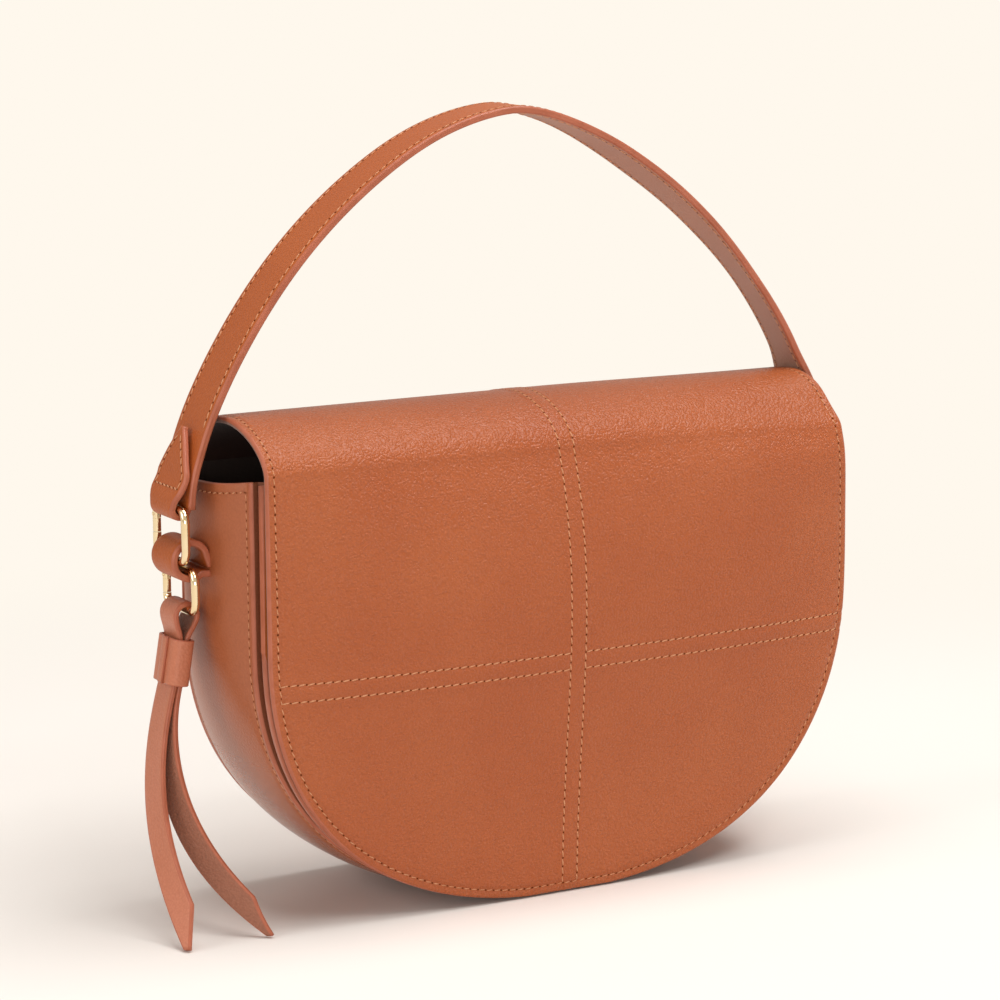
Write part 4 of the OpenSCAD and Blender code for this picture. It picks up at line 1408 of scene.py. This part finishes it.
def make_keeper():
    """Band round the two plies, with its lapped end on the left face."""
    a, b, r = TAIL_T + 0.95, TAIL_W / 2 + 0.8, 2.2
    centre = NECK + DOWN * KEEPER_H / 2
    begin = Vector((-a, 0.5, 0))
    loop = [begin]
    for cx, cy, start in ((r - a, r - b, 180), (a - r, r - b, 270), (a - r, b - r, 0),
                          (r - a, b - r, 90)):
        for m in range(7):
            angle = math.radians(start + 15 * m)
            loop.append(Vector((cx + r * math.cos(angle), cy + r * math.sin(angle), 0)))
    flat = even_path(loop + [begin, Vector((-a, -3.0, 0))], step=0.9)
    rows = []
    for k, point in enumerate(flat):
        lift = 0.65 + 1.05 * smooth_step(k / (len(flat) - 1), 0.86, 0.93)
        along = (flat[min(k + 1, len(flat) - 1)] - flat[max(k - 1, 0)]).normalized()
        normal = towards(Vector((along.y, -along.x, 0)), point)
        spot = point + normal * lift
        rows.append((centre - OUT * spot.x + ACROSS * spot.y, -DOWN, KEEPER_H / 2,
                     (-OUT * normal.x + ACROSS * normal.y).normalized()))
    add_piece("keeper_leather", ribbon(rows, 1.25, groove_in=0.05), [TASSEL, EDGE, TASSEL],
              "tassel", ("tassel_keeper",))


# the name, the node and the ply, 1 for the outer one. Then how far the foot lies from the keeper
# along X, the bow on the way, how far it comes forward, the powers of both along the tail, the
# turn in degrees that goes with the length, its square and its cube, and the tilt at the foot
TAILS = (
    ("tail_outer_leather", "tail_outer", 1, -10.0, -21.0, 45.5, (1.28, 2.56),
     (-4.0, -16.0, -13.0), -8),
    ("tail_inner_leather", "tail_inner", -1, 22.0, -24.0, 44.5, (3.5, 1.89),
     (10.0, -150.0, 98.0), -5))
TAIL_STEPS = 72
# the share of a tail's length that its slanted cut takes, how many half widths the cut crosses,
# and the height of its foot
CUT_SHARE = 0.15
CUT_SLANT = 1.55
TAIL_FOOT = 1.6


def make_tail(name, node, ply, reach, bow, forward, powers, turn, tilt):
    """A tail that falls from the keeper, bows out, turns and ends in a slanted cut."""
    foot = NECK + DOWN * (KEEPER_H - 0.6)
    x0 = foot.x - ply * math.cos(LEAN) * TAIL_T / 2
    z0 = foot.z + ply * math.sin(LEAN) * TAIL_T / 2
    steps = []
    for k in range(TAIL_STEPS + 1):
        s = k / TAIL_STEPS
        angle = math.radians(turn[0] * s + turn[1] * s * s + turn[2] * s ** 3)
        lean = math.radians(tilt * s)
        across = Vector((math.sin(angle) * math.cos(lean), math.cos(angle) * math.cos(lean),
                         math.sin(lean)))
        middle = Vector((x0 + reach * s ** powers[0] + bow * s * (1 - s),
                         -forward * s ** powers[1], z0 + (TAIL_FOOT - z0) * s))
        cut = max(s - (1 - CUT_SHARE), 0.0) / CUT_SHARE
        front = -(1 - CUT_SLANT * cut) * TAIL_W / 2
        back = TAIL_W / 2
        steps.append((middle + across * (front + back) / 2, across, (back - front) / 2))
    rows = []
    for k, (point, across, half) in enumerate(steps):
        along = (steps[min(k + 1, TAIL_STEPS)][0] - steps[max(k - 1, 0)][0]).normalized()
        rows.append((point, across, half, along.cross(across).normalized()))
    rows = facing(rows, lambda k, p: SIDEWAYS * -ply)
    add_piece(name, ribbon(rows, TAIL_T * 0.95, groove_in=0.16), [TASSEL, EDGE, TAIL_BACK],
              "tassel", (node,))


# ---------------------------------------------------------------- assembly

make_flap()
make_flap_stitches()
make_gusset()
make_recess()
make_panels()
make_pocket()
make_strap()
make_strap_end(-1, "left")
make_strap_end(1, "right")
make_tab(-1, "left")
make_tab(1, "right")
for side, hand in ((-1, "left"), (1, "right")):
    make_ring(side * RING_X, RING_TOP, RING_H, ("ring_wire_" + hand, "ring_" + hand),
              ("ring_wire_" + hand + "_pin", "gate_pin_" + hand),
              ("ring_gate_" + hand, "gate_" + hand), "handle", "gate_" + hand + "_body")
make_ring(-TASSEL_RING_X, TASSEL_RING_TOP, TASSEL_RING_H, ("tassel_ring_wire", "tassel_ring"),
          ("tassel_ring_wire_pin", "tassel_gate_pin"), ("tassel_ring_gate", "tassel_gate"),
          "tassel_ring_body", "tassel_gate_body")
make_tassel()
for node, material in (("snap_socket", GOLD), ("snap_stud", GOLD),
                       ("snap_socket_washer", STEEL), ("snap_stud_washer", STEEL)):
    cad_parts[node].data.materials.clear()
    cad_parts[node].data.materials.append(material)


# ---------------------------------------------------------------- studio

CREAM = linear("#FFF8ED")


def make_floor():
    """Pale paper that fades into the cream background away from the bag."""
    bm = bmesh.new()
    bmesh.ops.create_grid(bm, x_segments=2, y_segments=2, size=6.0)
    mesh = bpy.data.meshes.new("floor")
    bm.to_mesh(mesh)
    bm.free()
    floor = bpy.data.objects.new("floor", mesh)
    bpy.context.scene.collection.objects.link(floor)
    n = material_nodes("studio floor")
    n.finish(linear("#EFE9E2"), 0.9, None, Specular_IOR_Level=0.1)
    distance = n.add("VectorMath", operation="LENGTH")
    n.feed(distance.inputs[0], n.spot())
    away = n.between(distance.outputs["Value"], 0.24, 0.66)
    away.node.interpolation_type = "SMOOTHSTEP"
    shown = n.show_to_camera(n.tree.nodes["Principled BSDF"].outputs[0],
                             n.add("Emission", Color=CREAM, Strength=1.0).outputs[0], away)
    n.feed(n.tree.nodes["Material Output"].inputs["Surface"], shown)
    mesh.materials.append(n.owner)


def make_world():
    """Soft light from all round, and a cream background."""
    world = bpy.data.worlds.new("studio")
    bpy.context.scene.world = world
    n = Nodes(world)
    lit = n.tree.nodes["Background"]
    lit.inputs["Color"].default_value = linear("#FFFAF4")
    lit.inputs["Strength"].default_value = 0.32
    shown = n.show_to_camera(lit.outputs[0], n.add("Background", Color=CREAM).outputs[0])
    n.feed(n.tree.nodes["World Output"].inputs["Surface"], shown)


# the name, the place, where it points, its width and height, and its power in watts
LIGHTS = (
    ("overhead", (0.0, -0.1, 2.3), (0.0, 0.0, 0.10), (1.3, 1.3), 19.0),
    ("crown strip", (0.8, -0.3, 2.0), (0.0, 0.0, 0.17), (1.3, 0.5), 17.0),
    ("shoulder", (0.35, -1.25, 1.9), (0.0, 0.0, 0.17), (1.3, 0.5), 13.0),
    ("front left", (-1.1, -2.0, 0.3), (0.0, -0.02, 0.03), (1.5, 0.5), 12.5),
    ("front right", (1.9, -1.3, 0.3), (0.0, 0.0, 0.04), (1.3, 0.5), 5.5),
    ("left", (-2.2, 0.0, 1.1), (-0.1, 0.0, 0.08), (1.2, 1.2), 13.0))


def soft_light(name, place, aim, size, power):
    data = bpy.data.lights.new(name, "AREA")
    data.shape = "RECTANGLE"
    data.size, data.size_y = size
    data.energy = power
    lamp = bpy.data.objects.new(name, data)
    lamp.location = place
    lamp.rotation_euler = (Vector(aim) - Vector(place)).to_track_quat("-Z", "Y").to_euler()
    bpy.context.scene.collection.objects.link(lamp)


def make_camera():
    """The photograph's viewpoint: its place in millimetres, direction, roll and focal length in
    pixels."""
    place = Vector((-652.1, -1167.5, 390.7))
    azimuth, elevation, roll = map(math.radians, (29.06, 10.36, -0.5))
    focal, sensor = 3493.6, 36.0
    forward = Vector((math.sin(azimuth) * math.cos(elevation),
                      math.cos(azimuth) * math.cos(elevation), -math.sin(elevation)))
    right = Vector((math.cos(azimuth), -math.sin(azimuth), 0))
    up = right.cross(forward)
    side = right * math.cos(roll) + up * math.sin(roll)
    top = -right * math.sin(roll) + up * math.cos(roll)
    data = bpy.data.cameras.new("photo camera")
    data.sensor_width = sensor
    data.lens = focal / PHOTO_PIXELS * sensor
    data.clip_start = 0.05
    camera = bpy.data.objects.new("photo camera", data)
    turn = Matrix((side, top, -forward)).transposed().to_4x4()
    camera.matrix_world = Matrix.Translation(place * MM) @ turn
    bpy.context.scene.collection.objects.link(camera)
    bpy.context.scene.camera = camera


make_floor()
make_world()
make_camera()
for light in LIGHTS:
    soft_light(*light)
bpy.context.scene.view_settings.view_transform = "Standard"
